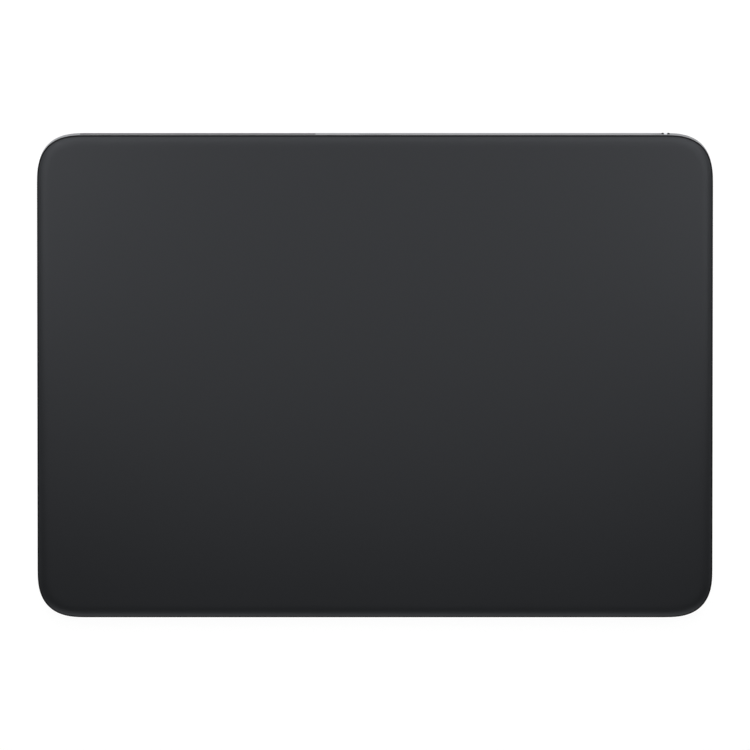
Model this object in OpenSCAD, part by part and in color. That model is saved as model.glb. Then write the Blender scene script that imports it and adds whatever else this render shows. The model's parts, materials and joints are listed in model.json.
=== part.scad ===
// Wireless glass trackpad: a wedge-shaped aluminium tray under a floating, force-sensing glass plate.
// Frame: X to the user's right, Y to the rear, Z up. The origin is on the desk, under the middle of the pad.
// The glass and what is bonded under it lie in the plate's own frame, tilted about X.

/* [Pad] */
// Width of the pad, left to right
pad_w = 160; // [150:1:180]
// Depth of the pad seen from above, front to rear
pad_d = 114.9; // [110:0.1:130]
// Height of the front edge of the glass above the desk
front_h = 4.9; // [4.8:0.1:6.5]
// Height of the rear edge of the glass above the desk
rear_h = 10.9; // [10.6:0.1:13]
// Radius of the pad's corners seen from above
corner_r = 8.9; // [8:0.1:10]

/* [Enclosure] */
// Thickness of the tray's side walls
wall = 1.6; // [1.3:0.1:1.8]
// Thickness of the tray's floor
floor_t = 1.0; // [0.8:0.1:1.1]
// How much smaller the cavity's corner radius is than the outer one
corner_step = 2.9; // [2:0.1:4]
// Radius of the tray's lower edge
bottom_fillet = 0.6; // [0.4:0.1:1.4]
// Gap between the tray's rim and the underside of the glass
rim_gap = 0.35; // [0.3:0.05:0.5]
// How far bosses and pedestals run down into the floor they stand on
boss_root = 0.3; // [0.1:0.1:0.5]

/* [Feet] */
// Diameter of a foot
foot_dia = 10; // [8:0.5:12]
// How far the feet stand proud of the tray's underside
foot_proud = 0.5; // [0.4:0.1:0.6]
// Depth of the pocket that holds a foot
foot_pocket = 0.4; // [0.3:0.1:0.5]
// Distance of the feet's centres from the pad's edges
foot_inset = 14; // [12:0.5:18]
// Chamfer round the lower edge of a foot
foot_chamfer = 0.25; // [0.1:0.05:0.35]
// Clearance round a foot in its pocket
foot_fit = 0.05; // [0.03:0.01:0.1]

/* [Touch plate] */
// Thickness of the glass
glass_t = 1.1; // [0.9:0.1:1.2]
// Width of the rounded band round the upper edge of the glass
edge_run = 1.4; // [1:0.1:1.8]
// Height of that rounded band
edge_drop = 0.7; // [0.4:0.1:0.8]
// Thickness of the touch sensor board
sensor_t = 0.8; // [0.6:0.1:0.9]
// How far the sensor board lies inside the edge of the glass
sensor_inset = 3; // [2.5:0.1:5]
// Corner radius of the sensor board and of the stiffener plate
board_corner_r = 5; // [3:0.5:7]
// Thickness of the stiffener plate
stiffener_t = 0.6; // [0.4:0.1:0.7]
// How far the stiffener plate lies inside the edge of the glass
stiffener_inset = 4; // [3:0.1:6]
// Side of the square touch controller chip
controller_w = 8; // [6:0.5:12]
// Thickness of the touch controller chip
controller_t = 0.5; // [0.3:0.1:0.6]
// Place of the touch controller across and along the plate
controller_pos = [24, 12];
// Clearance round the touch controller in the stiffener's window
controller_gap = 1; // [0.5:0.1:2]

/* [Rim gasket] */
// How far the gasket lies inside the edge of the pad
gasket_inset = 0.45; // [0.3:0.05:0.6]
// Width of the gasket
gasket_w = 0.7; // [0.5:0.05:0.8]
// Play left between the gasket and the glass
gasket_play = 0.05; // [0.02:0.01:0.1]

/* [Press suspension] */
// Thickness of a gel pad
gel_t = 0.8; // [0.7:0.05:0.9]
// Thickness of a spring flexure
leaf_t = 0.4; // [0.3:0.05:0.5]
// Length of a flexure, from its clamped end to its free end
leaf_len = 16; // [14:0.5:20]
// Width of a flexure at its two ends
leaf_w = 8; // [6.5:0.5:10]
// Width of a flexure's neck
neck_w = 5; // [3:0.5:6]
// Length of a flexure's clamped end
clamp_len = 6; // [5:0.5:7]
// Length of a flexure's free end, which carries the gel pad
free_len = 4.4; // [3.5:0.1:5]
// Distance of the front flexures' centre line from the front edge of the pad
flexure_inset = 20; // [18:0.5:24]
// Distance of the rear flexures' centre line from the rear edge of the pad
flexure_rear_inset = 14; // [13.5:0.5:15]
// Gap between a flexure and the side wall
flexure_wall_gap = 0.8; // [0.5:0.1:1.2]
// Spacing of the two screws of a flexure
flexure_screw_pitch = 4.4; // [3.6:0.1:4.8]
// Thickness of a strain gauge
gauge_t = 0.1; // [0.05:0.01:0.2]
// Width of a strain gauge
gauge_w = 3; // [2:0.1:3.5]
// Distance of a strain gauge from the two ends of the neck
gauge_margin = 1; // [0.5:0.1:1.5]

/* [Screws] */
// Diameter of the screws' threads
screw_dia = 1.2; // [1:0.1:1.4]
// Diameter of the screws' heads
screw_head_dia = 2.2; // [1.8:0.1:2.4]
// Height of the screws' heads
screw_head_h = 0.45; // [0.35:0.05:0.5]
// Width across the corners of the hexagon drive
screw_drive = 0.9; // [0.6:0.1:1.2]
// Depth of the hexagon drive
screw_drive_h = 0.25; // [0.15:0.05:0.3]
// How far the screws reach into the tray
screw_bite = 1.1; // [0.9:0.1:1.2]
// Radial clearance of the screws in their threaded holes
screw_fit = 0.05; // [0.03:0.01:0.08]
// Radial clearance of the screws in the pieces they clamp
screw_clearance = 0.15; // [0.1:0.05:0.25]
// Depth left free under a screw's tip
screw_tip_gap = 0.1; // [0.05:0.05:0.2]
// Diameter of the round bosses
boss_dia = 4; // [3.4:0.1:4.2]

/* [Rear wall] */
// Height of the port and the switch above the desk
rear_mid_z = 5.0; // [4.8:0.1:5.4]
// Height of the middle of the antenna window above the desk
window_z = 5.0; // [4.8:0.1:5.4]
// Length of the antenna window
window_l = 55.8; // [45:0.2:57]
// Height of the antenna window
window_h = 5.8; // [4.5:0.1:5.8]
// Corner radius of the antenna window
window_r = 1; // [0.5:0.1:2]
// Distance of the antenna window's outer end from the left side of the pad
window_inset = 10.1; // [9.8:0.1:14]
// Width of the window's inner flange beyond the opening
window_flange = 0.6; // [0.4:0.1:0.6]
// Thickness of the window's inner flange
window_flange_t = 0.8; // [0.6:0.1:1]
// Clearance of the window in its opening
window_fit = 0.03; // [0.02:0.01:0.08]
// Thickness of the antenna
antenna_t = 0.3; // [0.2:0.1:0.4]
// How far the antenna lies inside the window's opening, all round
antenna_inset = 1.2; // [0.8:0.1:2]
// Width of the antenna's spring contact
antenna_contact_w = 3; // [2:0.5:5]
// Thickness of the spring contact's metal
antenna_contact_t = 0.3; // [0.2:0.05:0.4]
// Height of the spring contact's upright tongue
antenna_contact_h = 2; // [1.5:0.1:3]
// How far the spring contact reaches over the logic board
antenna_contact_foot = 2; // [1.5:0.1:3]
// Distance of the spring contact from the window's inner end
antenna_contact_inset = 6; // [4:0.5:12]

/* [Charging port] */
// Width of the port's mouth in the rear wall
mouth_w = 7.9; // [7.6:0.1:8.4]
// Height of the port's mouth in the rear wall
mouth_h = 2.6; // [2.2:0.1:3]
// Width of the port's insulator
insulator_w = 8.6; // [8.4:0.1:9]
// Height of the port's insulator
insulator_h = 3.4; // [3.2:0.1:3.6]
// Length of the port's insulator, front to rear
insulator_len = 7; // [6.5:0.1:7.4]
// Corner radius of the insulator
insulator_r = 0.8; // [0.4:0.1:1.2]
// Width of the cavity that takes the plug
plug_w = 6.9; // [6.6:0.1:7.4]
// Height of the cavity that takes the plug
plug_h = 1.8; // [1.6:0.1:2]
// Depth of the cavity that takes the plug
plug_depth = 6.2; // [5.5:0.1:6.3]
// Thickness of the port's steel shell
shell_t = 0.25; // [0.2:0.05:0.3]
// Gap between the port and the rear wall
port_wall_gap = 0.1; // [0.05:0.05:0.2]
// Number of contacts in the port
contact_count = 8; // [6:1:8]
// Spacing of the contacts
contact_pitch = 0.6; // [0.5:0.05:0.65]
// Width of a contact
contact_w = 0.3; // [0.2:0.05:0.4]
// Thickness of a contact
contact_t = 0.2; // [0.1:0.05:0.3]
// How far the contacts stay back from the port's mouth
contact_setback = 1; // [0.5:0.1:2]
// Length of the contacts' tails behind the insulator
tail_len = 1.4; // [1.2:0.1:2]
// Thickness of the port's bracket
strap_t = 0.5; // [0.4:0.1:0.6]
// Length of the bracket along the port
strap_len = 4; // [3:0.1:5]
// Reach of each of the bracket's ears
ear_len = 4.4; // [4:0.1:5]
// Height of the bosses under the bracket's ears
ear_boss_h = 2; // [1.6:0.1:2.4]
// Distance of the port's pedestal from the insulator's ends and sides
pedestal_inset = 0.8; // [0.5:0.1:1.5]

/* [Power switch] */
// Distance of the switch slot's middle from the right side of the pad
slot_inset = 12.45; // [12:0.05:14]
// Length of the slot
slot_l = 4.7; // [4.2:0.1:5]
// Height of the slot
slot_h = 2; // [1.6:0.1:2.1]
// Width of the slider's knob
knob_w = 1.9; // [1.8:0.1:2.2]
// Play of the knob at the slot's ends, above it and below it
knob_play = 0.15; // [0.1:0.05:0.2]
// How far the knob's base lies below the rear face
knob_recess = 0.25; // [0.1:0.05:0.5]
// Distance of the rib's ends from the knob's upper and lower edges
rib_inset = 0.15; // [0.1:0.05:0.3]
// Corner radius of the knob's rib
rib_r = 0.4; // [0.2:0.1:0.45]
// Width of the rib on the knob
rib_w = 1; // [0.8:0.1:1.2]
// How far the rib stands proud of the rear face
rib_proud = 0.3; // [0.2:0.05:0.5]
// Thickness of the slider's backing plate
slider_t = 0.8; // [0.7:0.1:1]
// How far the backing plate reaches past the slot
slider_overlap = 0.4; // [0.3:0.05:0.5]
// Half height of the backing plate
slider_half_h = 1.6; // [1.4:0.1:2]
// Gap between the backing plate and the rear wall
slider_gap = 0.3; // [0.2:0.05:0.4]
// Thickness of the coloured indicator
indicator_t = 0.15; // [0.1:0.05:0.2]
// Height of the coloured indicator
indicator_h = 1.6; // [1.2:0.1:1.8]
// Distance of the indicator from the knob and from the plate's end
indicator_margin = 0.15; // [0.1:0.05:0.3]
// Length of the switch body
switch_l = 6.8; // [6.2:0.1:7.4]
// Depth of the switch body, front to rear
switch_d = 2.6; // [2.4:0.1:3]
// Gap between the switch body and the slider
switch_gap = 0.25; // [0.2:0.05:0.35]
// Width of the actuator nub
nub_w = 1.2; // [1:0.1:1.5]
// Height of the actuator nub
nub_h = 0.8; // [0.6:0.1:0.9]
// How far the nub reaches into the slider and into the switch body
nub_reach = 0.45; // [0.3:0.05:0.5]
// Clearance round the nub
nub_fit = 0.1; // [0.05:0.05:0.15]
// Length of the switch's bracket
bracket_l = 15.2; // [14.8:0.1:15.6]
// Thickness of the switch's bracket
bracket_t = 0.5; // [0.4:0.1:0.6]
// How far the bracket reaches in front of the switch body
bracket_reach = 2.7; // [2.6:0.1:3]
// Distance of the bracket's screws from its ends
bracket_screw_inset = 2; // [1.8:0.1:2.2]
// Width of the bracket's upright stop
stop_w = 4.8; // [3:0.1:5.4]

/* [Logic board] */
// Thickness of the logic board
board_t = 0.8; // [0.6:0.1:1]
// Depth of the logic board, front to rear
board_d = 12.4; // [12:0.1:13]
// Gap between the logic board and the rear wall
board_rear_gap = 2.85; // [2.4:0.05:3]
// Gap between the logic board and the left wall
board_left_gap = 12.4; // [10:0.1:16]
// Gap between the logic board and the switch's pedestal
board_right_gap = 1.9; // [1.5:0.1:2.5]
// Clearance round the port in the board's notch
notch_gap = 0.6; // [0.4:0.1:0.8]
// Distance of the board's end screws from its ends
board_screw_inset = 3; // [2.6:0.1:3.6]
// Thickness of the flexible circuits
flex_t = 0.15; // [0.1:0.01:0.18]
// Width of the port's flexible circuit
port_flex_w = 6.4; // [5.6:0.1:7]
// How far the port's flexible circuit reaches over the board
port_flex_len = 3.4; // [2.5:0.1:4]
// Width of the switch's flexible circuit
switch_flex_w = 1.6; // [1.2:0.1:1.8]
// How far the switch's flexible circuit reaches over the board
switch_flex_len = 4; // [3:0.1:5]
// Height of the chips
chip_t = 0.9; // [0.6:0.1:1.2]
// Side of the square processor
processor_w = 8; // [6:0.5:9]
// Length and depth of the radio's shield can
shield_size = [15, 9.4];
// Height of the radio's shield can
shield_h = 1.6; // [1.2:0.1:2]
// Side of the square charger chip
charger_w = 5; // [4:0.5:6]
// Side of the square force amplifier chip
amplifier_w = 6; // [5:0.5:7]
// Length, depth and height of the passive components
passive_size = [1, 0.5, 0.5];
// Spacing of the passive components along the board
passive_pitch = 2.5; // [2:0.1:3]
// Distance of the row of passive components from the board's front edge
passive_inset = 1.2; // [1:0.1:1.5]

/* [Battery] */
// Width of the battery cell
battery_w = 130; // [110:1:131]
// Depth of the battery cell
battery_d = 32; // [26:0.5:34]
// Thickness of the battery cell
battery_t = 3.4; // [2.6:0.1:3.5]
// Corner radius of the battery cell
battery_r = 2.5; // [1:0.1:4]
// Thickness of the adhesive strips under the battery
adhesive_t = 0.2; // [0.2:0.05:0.3]
// Length of an adhesive strip
adhesive_l = 48; // [30:1:50]
// Width of an adhesive strip
adhesive_w = 7; // [4:0.5:10]
// Distance of the adhesive strips from the battery's front and rear edges
adhesive_inset = 3; // [2:0.5:5]
// Half width of the lane left free between the strips
adhesive_lane = 12; // [10:0.5:14]
// Gap between the battery and the logic board
battery_gap = 2.1; // [1:0.1:3]
// Width of the battery's terrace, at its right end
terrace_w = 4.5; // [4:0.1:5]
// Length of the terrace
terrace_l = 20; // [16:0.5:24]
// Thickness of the terrace's folded foil
terrace_t = 0.3; // [0.2:0.05:0.4]
// Thickness of the battery's protection board
protection_t = 0.8; // [0.6:0.1:1]
// Distance of the protection board from the terrace's edges
protection_inset = 0.4; // [0.2:0.1:0.6]
// Width of the battery's lead
lead_w = 2.8; // [2:0.1:3]
// Thickness of the battery's lead
lead_t = 0.3; // [0.2:0.05:0.4]
// How far the lead's middle lies inside the right end of the logic board
lead_reach = 5; // [4:0.1:6]
// Clearance between the lead and the top of the battery
lead_gap = 0.05; // [0.03:0.01:0.2]
// Length and depth of the battery's connector
battery_connector_size = [4.5, 3.4];

/* [Touch flex] */
// Width of the touch flex
touch_flex_w = 10; // [8:0.5:12]
// Length of its two straight ends
touch_flex_end = 3.4; // [3:0.1:4]
// Distance of its loop from the logic board's front edge
touch_loop_inset = 3.6; // [3:0.1:4.5]
// Clearance between its upper end and the sensor board
touch_flex_gap = 0.05; // [0.03:0.01:0.1]
// Distance of the touch flex from the board's right end
touch_flex_inset = 15; // [14:0.5:20]
// Height of the connector that takes it on the logic board
touch_connector_h = 1; // [0.8:0.1:1.4]
// Depth of that connector
touch_connector_d = 3; // [2:0.1:3.4]
// Clearance round the touch flex in the stiffener's notch
touch_notch_gap = 2; // [1:0.5:3]

/* [Haptic engine] */
// Gap between the engine's frame and the battery
haptic_gap = 1; // [0.6:0.1:3]
// Gap between the core's poles and the armature
pole_gap = 0.35; // [0.25:0.05:0.5]
// Thickness of the engine's frame
frame_t = 0.4; // [0.3:0.1:0.5]
// Height of the bosses under the frame
frame_boss_h = 0.5; // [0.4:0.1:0.6]
// Half length of the frame along the pad
frame_half = 14; // [13.5:0.1:15]
// How far the frame reaches past the core's back bar
frame_margin = 0.8; // [0.4:0.1:1.5]
// Distance of the frame's screws from its front and rear edges
frame_screw_inset = 2; // [1.6:0.1:2.2]
// Thickness of the laminated core
core_t = 1.2; // [1:0.1:1.3]
// Width of the core's back bar
core_bar = 4; // [3:0.1:5]
// Length of the core's three legs
core_leg = 10; // [8:0.5:14]
// Half length of the core along the pad
core_half = 10; // [9:0.1:11]
// Width of the core's two outer legs
outer_leg_w = 4; // [3:0.1:4.4]
// Width of the core's middle leg
middle_leg_w = 5; // [4:0.1:5.4]
// Thickness of the coil's winding
coil_wall = 0.5; // [0.4:0.05:0.55]
// Thickness of the coil's winding beside the leg
coil_side = 1.7; // [1:0.1:1.9]
// Clearance between the coil and the leg
coil_fit = 0.1; // [0.05:0.05:0.15]
// Corner radius of the coil's outside
coil_r = 0.5; // [0.3:0.1:0.8]
// Distance of the coil from the back bar and from the pole faces
coil_margin = 0.8; // [0.5:0.1:1.5]
// Gap between the coil and the frame's window
coil_window_gap = 0.4; // [0.3:0.1:0.8]
// Width of the armature
armature_w = 4; // [3:0.1:6]
// Height of the armature under the stiffener plate
armature_h = 2.3; // [2:0.1:2.35]
// Width of the armature's bonding flange
armature_flange = 4; // [2:0.1:6]
// Thickness of the bonding flange
armature_flange_t = 0.5; // [0.3:0.1:0.8]
// Width of the haptic engine's flexible circuit
haptic_flex_w = 4; // [3:0.5:6]
// How far the flexible circuits on the floor reach under the logic board
underboard_reach = 3; // [2.4:0.1:4]
// Depth of the connectors under the logic board
underboard_connector_d = 2; // [1.6:0.1:2.2]
// Width of the strain gauges' flexible circuits
gauge_flex_w = 1.5; // [1.2:0.1:2]
// Gap between those circuits and the flexures' bosses
gauge_flex_gap = 0.3; // [0.2:0.1:0.5]
// Length of the strain gauges' connectors under the logic board
gauge_connector_l = 4; // [3:0.5:5]

/* [Hidden] */
$fn = 96;

// The plate's tilted frame
tilt = atan((rear_h - front_h) / pad_d);
glass_d = pad_d / cos(tilt);
plate_mid_h = (front_h + rear_h) / 2;
edge_arc_r = (edge_run * edge_run + edge_drop * edge_drop) / (2 * edge_drop);
rim_depth = glass_t + rim_gap;
sensor_depth = glass_t + sensor_t;
stack_depth = sensor_depth + stiffener_t;
leaf_top_depth = stack_depth + gel_t;
leaf_depth = leaf_top_depth + leaf_t;

// The tray's inside
inner_w = pad_w - 2 * wall;
inner_d = pad_d - 2 * wall;
inner_x = inner_w / 2;
inner_y = inner_d / 2;
inner_r = corner_r - corner_step;
rear_y = pad_d / 2;
floor_top = foot_proud + floor_t;
boss_base = floor_top - boss_root;
far = pad_w + pad_d;

// The suspension
flexure_x = inner_x - flexure_wall_gap;
flexure_front_y = flexure_inset - pad_d / 2;
flexure_rear_y = pad_d / 2 - flexure_rear_inset;
leaf_boss_l = flexure_wall_gap + clamp_len;
screw_r = screw_dia / 2;
tapped_r = screw_r + screw_fit;
clear_r = screw_r + screw_clearance;
tapped_depth = screw_bite + screw_tip_gap;

// The charging port, from the rear wall forwards
port_front_y = inner_y - port_wall_gap;
port_back_y = port_front_y - insulator_len;
port_mid_y = (port_front_y + port_back_y) / 2;
shell_w = insulator_w + 2 * shell_t;
shell_h = insulator_h + 2 * shell_t;
shell_bottom = rear_mid_z - shell_h / 2;
shell_top = rear_mid_z + shell_h / 2;
contact_z = rear_mid_z - plug_h / 2;
ear_z = floor_top + ear_boss_h;
ear_x = shell_w / 2 + strap_t + ear_len / 2;

// The logic board lies level with the port's contacts
board_top = contact_z - flex_t;
board_bottom = board_top - board_t;
board_rear_y = inner_y - board_rear_gap;
board_front_y = board_rear_y - board_d;
board_mid_y = (board_front_y + board_rear_y) / 2;
slot_x = pad_w / 2 - slot_inset;
board_left_x = board_left_gap - inner_x;
board_right_x = slot_x - bracket_l / 2 - board_right_gap;
notch_half = ear_x + boss_dia / 2 + notch_gap;
notch_y = port_back_y - notch_gap;
board_screws_x = [
    board_left_x + board_screw_inset,
    -notch_half - board_screw_inset,
    notch_half + board_screw_inset
];

// The power switch, from the rear wall forwards
switch_travel = slot_l - knob_w - 2 * knob_play;
knob_x = slot_x + switch_travel / 2;
knob_h = slot_h - 2 * knob_play;
slider_rear_y = inner_y - slider_gap;
slider_front_y = slider_rear_y - slider_t;
slider_half_l = slot_l - knob_w / 2 - knob_play + slider_overlap;
switch_rear_y = slider_front_y - switch_gap;
switch_front_y = switch_rear_y - switch_d;
switch_bottom = board_top + flex_t;
switch_top = 2 * rear_mid_z - switch_bottom;
bracket_front_y = switch_front_y - bracket_reach;
bracket_rear_y = switch_rear_y - switch_gap;
bracket_screw_x = bracket_l / 2 - bracket_screw_inset;
bracket_screw_y = bracket_front_y + bracket_reach / 2;

// The antenna window and the antenna
window_x = -pad_w / 2 + window_inset + window_l / 2;
antenna_rear_y = inner_y - window_flange_t;
antenna_front_y = antenna_rear_y - antenna_t;
antenna_contact_x = window_x + window_l / 2 - antenna_contact_inset;

// The battery, in front of the logic board
battery_rear_y = board_front_y - battery_gap;
battery_front_y = battery_rear_y - battery_d;
battery_mid_y = (battery_front_y + battery_rear_y) / 2;
battery_z = floor_top + adhesive_t;
lead_x = board_right_x - lead_reach;
lead_y = board_front_y + lead_w / 2 + passive_inset;
lead_z = battery_z + battery_t + lead_gap;
terrace_z = lead_z - protection_t - terrace_t;

// The touch flex
touch_flex_x = board_right_x - touch_flex_inset;
touch_loop_y = board_front_y + touch_loop_inset;
touch_flex_low = board_top + touch_connector_h;
touch_flex_high = plate_mid_h + touch_loop_y * tan(tilt) - (sensor_depth + touch_flex_gap) / cos(tilt);
touch_loop_r = (touch_flex_high - touch_flex_low) / 2;

// The haptic engine in front of the battery, with its air gap at the middle of the pad
haptic_y = battery_front_y - haptic_gap - frame_half;
frame_z = floor_top + frame_boss_h;
core_z = frame_z + frame_t;
core_mid_z = core_z + core_t / 2;
pole_x = -pole_gap / 2;
core_left_x = pole_x - core_leg - core_bar;
frame_left_x = core_left_x - frame_margin;
coil_left_x = core_left_x + core_bar + coil_margin;
coil_right_x = pole_x - coil_margin;
coil_l = coil_right_x - coil_left_x;
coil_bore_w = middle_leg_w + 2 * coil_fit;
coil_bore_h = core_t + 2 * coil_fit;
coil_w = coil_bore_w + 2 * coil_side;
coil_h = coil_bore_h + 2 * coil_wall;
frame_screws_x = [core_left_x + core_bar / 2, pole_x - core_bar / 2];
frame_screw_y = frame_half - frame_screw_inset;
haptic_flex_x = (frame_screws_x[0] + frame_screws_x[1]) / 2;

// The strain gauges' circuits, beside the flexures' bosses
gauge_flex_x = inner_x - leaf_boss_l - gauge_flex_gap - gauge_flex_w / 2;
gauge_flex_y = board_front_y + underboard_reach - gauge_flex_w / 2;

// Shared shapes

// The plate's frame: its Z = 0 is the top of the glass, and its Y runs up the slope.
module in_plate() {
    translate([0, 0, plate_mid_h]) rotate([tilt, 0, 0]) children();
}

// Everything that lies more than a given depth below the top of the glass.
module below_plate(depth) {
    in_plate() box_between([-far, -far, -far], [far, far, -depth]);
}

module box_between(low, high) {
    translate(low) cube(high - low);
}

module rounded_outline(w, d, r) {
    square([w, d - 2 * r], center = true);
    square([w - 2 * r, d], center = true);
    for (x = [-1, 1], y = [-1, 1]) {
        translate([x * (w / 2 - r), y * (d / 2 - r)]) circle(r);
    }
}

module pill(l, h) {
    if (l > h) square([l - h, h], center = true);
    for (x = [-1, 1]) translate([x * (l - h) / 2, 0]) circle(h / 2);
}

// Pulls an outline along X: its first axis becomes Y and its second becomes Z.
module run_x(x0, x1) {
    translate([x0, 0, 0]) rotate([90, 0, 90]) linear_extrude(x1 - x0) children();
}

// Pulls an outline along Y: its first axis stays X and its second becomes Z.
module run_y(y0, y1) {
    translate([0, y1, 0]) rotate([90, 0, 0]) linear_extrude(y1 - y0) children();
}

module screw(clamped) {
    difference() {
        union() {
            cylinder(d = screw_head_dia, h = screw_head_h);
            translate([0, 0, -clamped - screw_bite]) cylinder(r = screw_r, h = clamped + screw_bite);
        }
        translate([0, 0, screw_head_h - screw_drive_h]) cylinder(d = screw_drive, h = screw_head_h, $fn = 6);
    }
}

module tapped_hole() {
    translate([0, 0, -tapped_depth]) cylinder(r = tapped_r, h = tapped_depth + boss_root);
}

module each_corner(inset) {
    for (x = [-1, 1], y = [-1, 1]) {
        translate([x * (pad_w / 2 - inset), y * (pad_d / 2 - inset), 0]) children();
    }
}

// Enclosure

module tray_edge_profile(half) {
    translate([-half, bottom_fillet]) square([2 * half, rear_h - bottom_fillet]);
    translate([bottom_fillet - half, 0]) square([2 * (half - bottom_fillet), bottom_fillet]);
    for (x = [-1, 1]) translate([x * (half - bottom_fillet), bottom_fillet]) circle(bottom_fillet);
}

module tray_corner() {
    rotate_extrude() {
        translate([0, bottom_fillet]) square([corner_r, rear_h - bottom_fillet]);
        square([corner_r - bottom_fillet, bottom_fillet]);
        translate([corner_r - bottom_fillet, bottom_fillet]) circle(bottom_fillet);
    }
}

module tray_block() {
    translate([0, 0, foot_proud]) {
        run_x(corner_r - pad_w / 2, pad_w / 2 - corner_r) tray_edge_profile(pad_d / 2);
        run_y(corner_r - pad_d / 2, pad_d / 2 - corner_r) tray_edge_profile(pad_w / 2);
        each_corner(corner_r) tray_corner();
    }
}

module flexure_bosses() {
    boss_x = inner_x - leaf_boss_l;
    intersection() {
        for (side = [-1, 1], row_y = [flexure_front_y, flexure_rear_y]) {
            boss_mid_x = side * (boss_x + inner_x + wall / 2) / 2;
            translate([boss_mid_x, row_y, boss_base + rear_h / 2]) {
                cube([inner_x + wall / 2 - boss_x, leaf_w, rear_h], center = true);
            }
        }
        below_plate(leaf_depth);
    }
}

module tray_bosses() {
    flexure_bosses();
    for (x = board_screws_x) round_boss(x, board_mid_y, board_bottom);
    for (side = [-1, 1]) round_boss(side * ear_x, port_mid_y, ear_z);
    for (x = frame_screws_x, side = [-1, 1]) round_boss(x, haptic_y + side * frame_screw_y, frame_z);
    box_between(
        [pedestal_inset - insulator_w / 2, port_back_y + pedestal_inset, boss_base],
        [insulator_w / 2 - pedestal_inset, port_front_y - pedestal_inset, shell_bottom]
    );
    box_between(
        [slot_x - bracket_l / 2, bracket_front_y, boss_base],
        [slot_x + bracket_l / 2, bracket_rear_y, board_top - bracket_t]
    );
}

module round_boss(x, y, top) {
    translate([x, y, boss_base]) cylinder(d = boss_dia, h = top - boss_base);
}

module tray_holes() {
    for (side = [-1, 1], end = [-1, 1]) {
        at_flexure(side, end) flexure_screw_places() translate([0, 0, -leaf_depth]) tapped_hole();
    }
    for (x = board_screws_x) translate([x, board_mid_y, board_bottom]) tapped_hole();
    for (side = [-1, 1]) {
        translate([side * ear_x, port_mid_y, ear_z]) tapped_hole();
        translate([slot_x + side * bracket_screw_x, bracket_screw_y, board_top - bracket_t]) tapped_hole();
    }
    for (x = frame_screws_x, side = [-1, 1]) {
        translate([x, haptic_y + side * frame_screw_y, frame_z]) tapped_hole();
    }
    each_corner(foot_inset) cylinder(d = foot_dia + 2 * foot_fit, h = foot_proud + foot_pocket);
    run_y(inner_y - wall / 2, rear_y + wall) {
        translate([0, rear_mid_z]) pill(mouth_w, mouth_h);
        translate([slot_x, rear_mid_z]) pill(slot_l, slot_h);
        translate([window_x, window_z]) {
            rounded_outline(window_l + 2 * window_fit, window_h + 2 * window_fit, window_r + window_fit);
        }
    }
}

module enclosure() {
    color("silver") difference() {
        union() {
            difference() {
                intersection() {
                    tray_block();
                    below_plate(rim_depth);
                }
                translate([0, 0, floor_top]) {
                    linear_extrude(rear_h) rounded_outline(inner_w, inner_d, inner_r);
                }
            }
            tray_bosses();
        }
        tray_holes();
    }
}

module foot(side, end) {
    foot_r = foot_dia / 2;
    color("gainsboro") translate([side * (pad_w / 2 - foot_inset), end * (pad_d / 2 - foot_inset), 0]) {
        rotate_extrude() polygon([
            [0, 0], [foot_r - foot_chamfer, 0], [foot_r, foot_chamfer],
            [foot_r, foot_proud + foot_pocket], [0, foot_proud + foot_pocket]
        ]);
    }
}

// Touch plate

module glass_edge(half) {
    intersection() {
        translate([half - edge_run, -glass_t]) square([edge_run, glass_t]);
        translate([half - edge_run, -edge_arc_r]) circle(edge_arc_r);
    }
}

module glass_profile(half) {
    translate([edge_run - half, -glass_t]) square([2 * (half - edge_run), glass_t]);
    glass_edge(half);
    mirror([1, 0]) glass_edge(half);
}

module glass_corner() {
    rotate_extrude() {
        translate([0, -glass_t]) square([corner_r - edge_run, glass_t]);
        glass_edge(corner_r);
    }
}

module touch_glass() {
    color([0.2, 0.2, 0.21]) in_plate() {
        run_x(corner_r - pad_w / 2, pad_w / 2 - corner_r) glass_profile(glass_d / 2);
        run_y(corner_r - glass_d / 2, glass_d / 2 - corner_r) glass_profile(pad_w / 2);
        for (x = [-1, 1], y = [-1, 1]) {
            translate([x * (pad_w / 2 - corner_r), y * (glass_d / 2 - corner_r), 0]) glass_corner();
        }
    }
}

module touch_sensor_board() {
    color("darkgreen") in_plate() translate([0, 0, -sensor_depth]) linear_extrude(sensor_t) {
        rounded_outline(pad_w - 2 * sensor_inset, glass_d - 2 * sensor_inset, board_corner_r);
    }
}

module touch_controller_chip() {
    color([0.1, 0.1, 0.1]) in_plate() {
        translate([controller_pos.x, controller_pos.y, -sensor_depth - controller_t]) {
            linear_extrude(controller_t) square(controller_w, center = true);
        }
    }
}

module stiffener_plate() {
    window = controller_w + 2 * controller_gap;
    notch = touch_flex_w + 2 * touch_notch_gap;
    notch_front = touch_loop_y - touch_loop_r - touch_notch_gap;
    color("lightgray") in_plate() translate([0, 0, -stack_depth]) linear_extrude(stiffener_t) difference() {
        rounded_outline(pad_w - 2 * stiffener_inset, glass_d - 2 * stiffener_inset, board_corner_r);
        translate(controller_pos) square(window, center = true);
        translate([touch_flex_x - notch / 2, notch_front]) square([notch, glass_d]);
    }
}

module rim_gasket() {
    outer_w = pad_w - 2 * gasket_inset;
    outer_d = glass_d - 2 * gasket_inset;
    outer_r = corner_r - gasket_inset;
    color("black") in_plate() translate([0, 0, -rim_depth]) {
        linear_extrude(rim_gap - gasket_play) difference() {
            rounded_outline(outer_w, outer_d, outer_r);
            rounded_outline(outer_w - 2 * gasket_w, outer_d - 2 * gasket_w, outer_r - gasket_w);
        }
    }
}

// Press suspension

// A flexure's own frame: X runs inboard from its clamped end, and Z = 0 is the top of the glass.
module at_flexure(side, end) {
    row_y = end > 0 ? flexure_rear_y : flexure_front_y;
    in_plate() translate([side * flexure_x, row_y, 0]) rotate([0, 0, side > 0 ? 180 : 0]) children();
}

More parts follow.
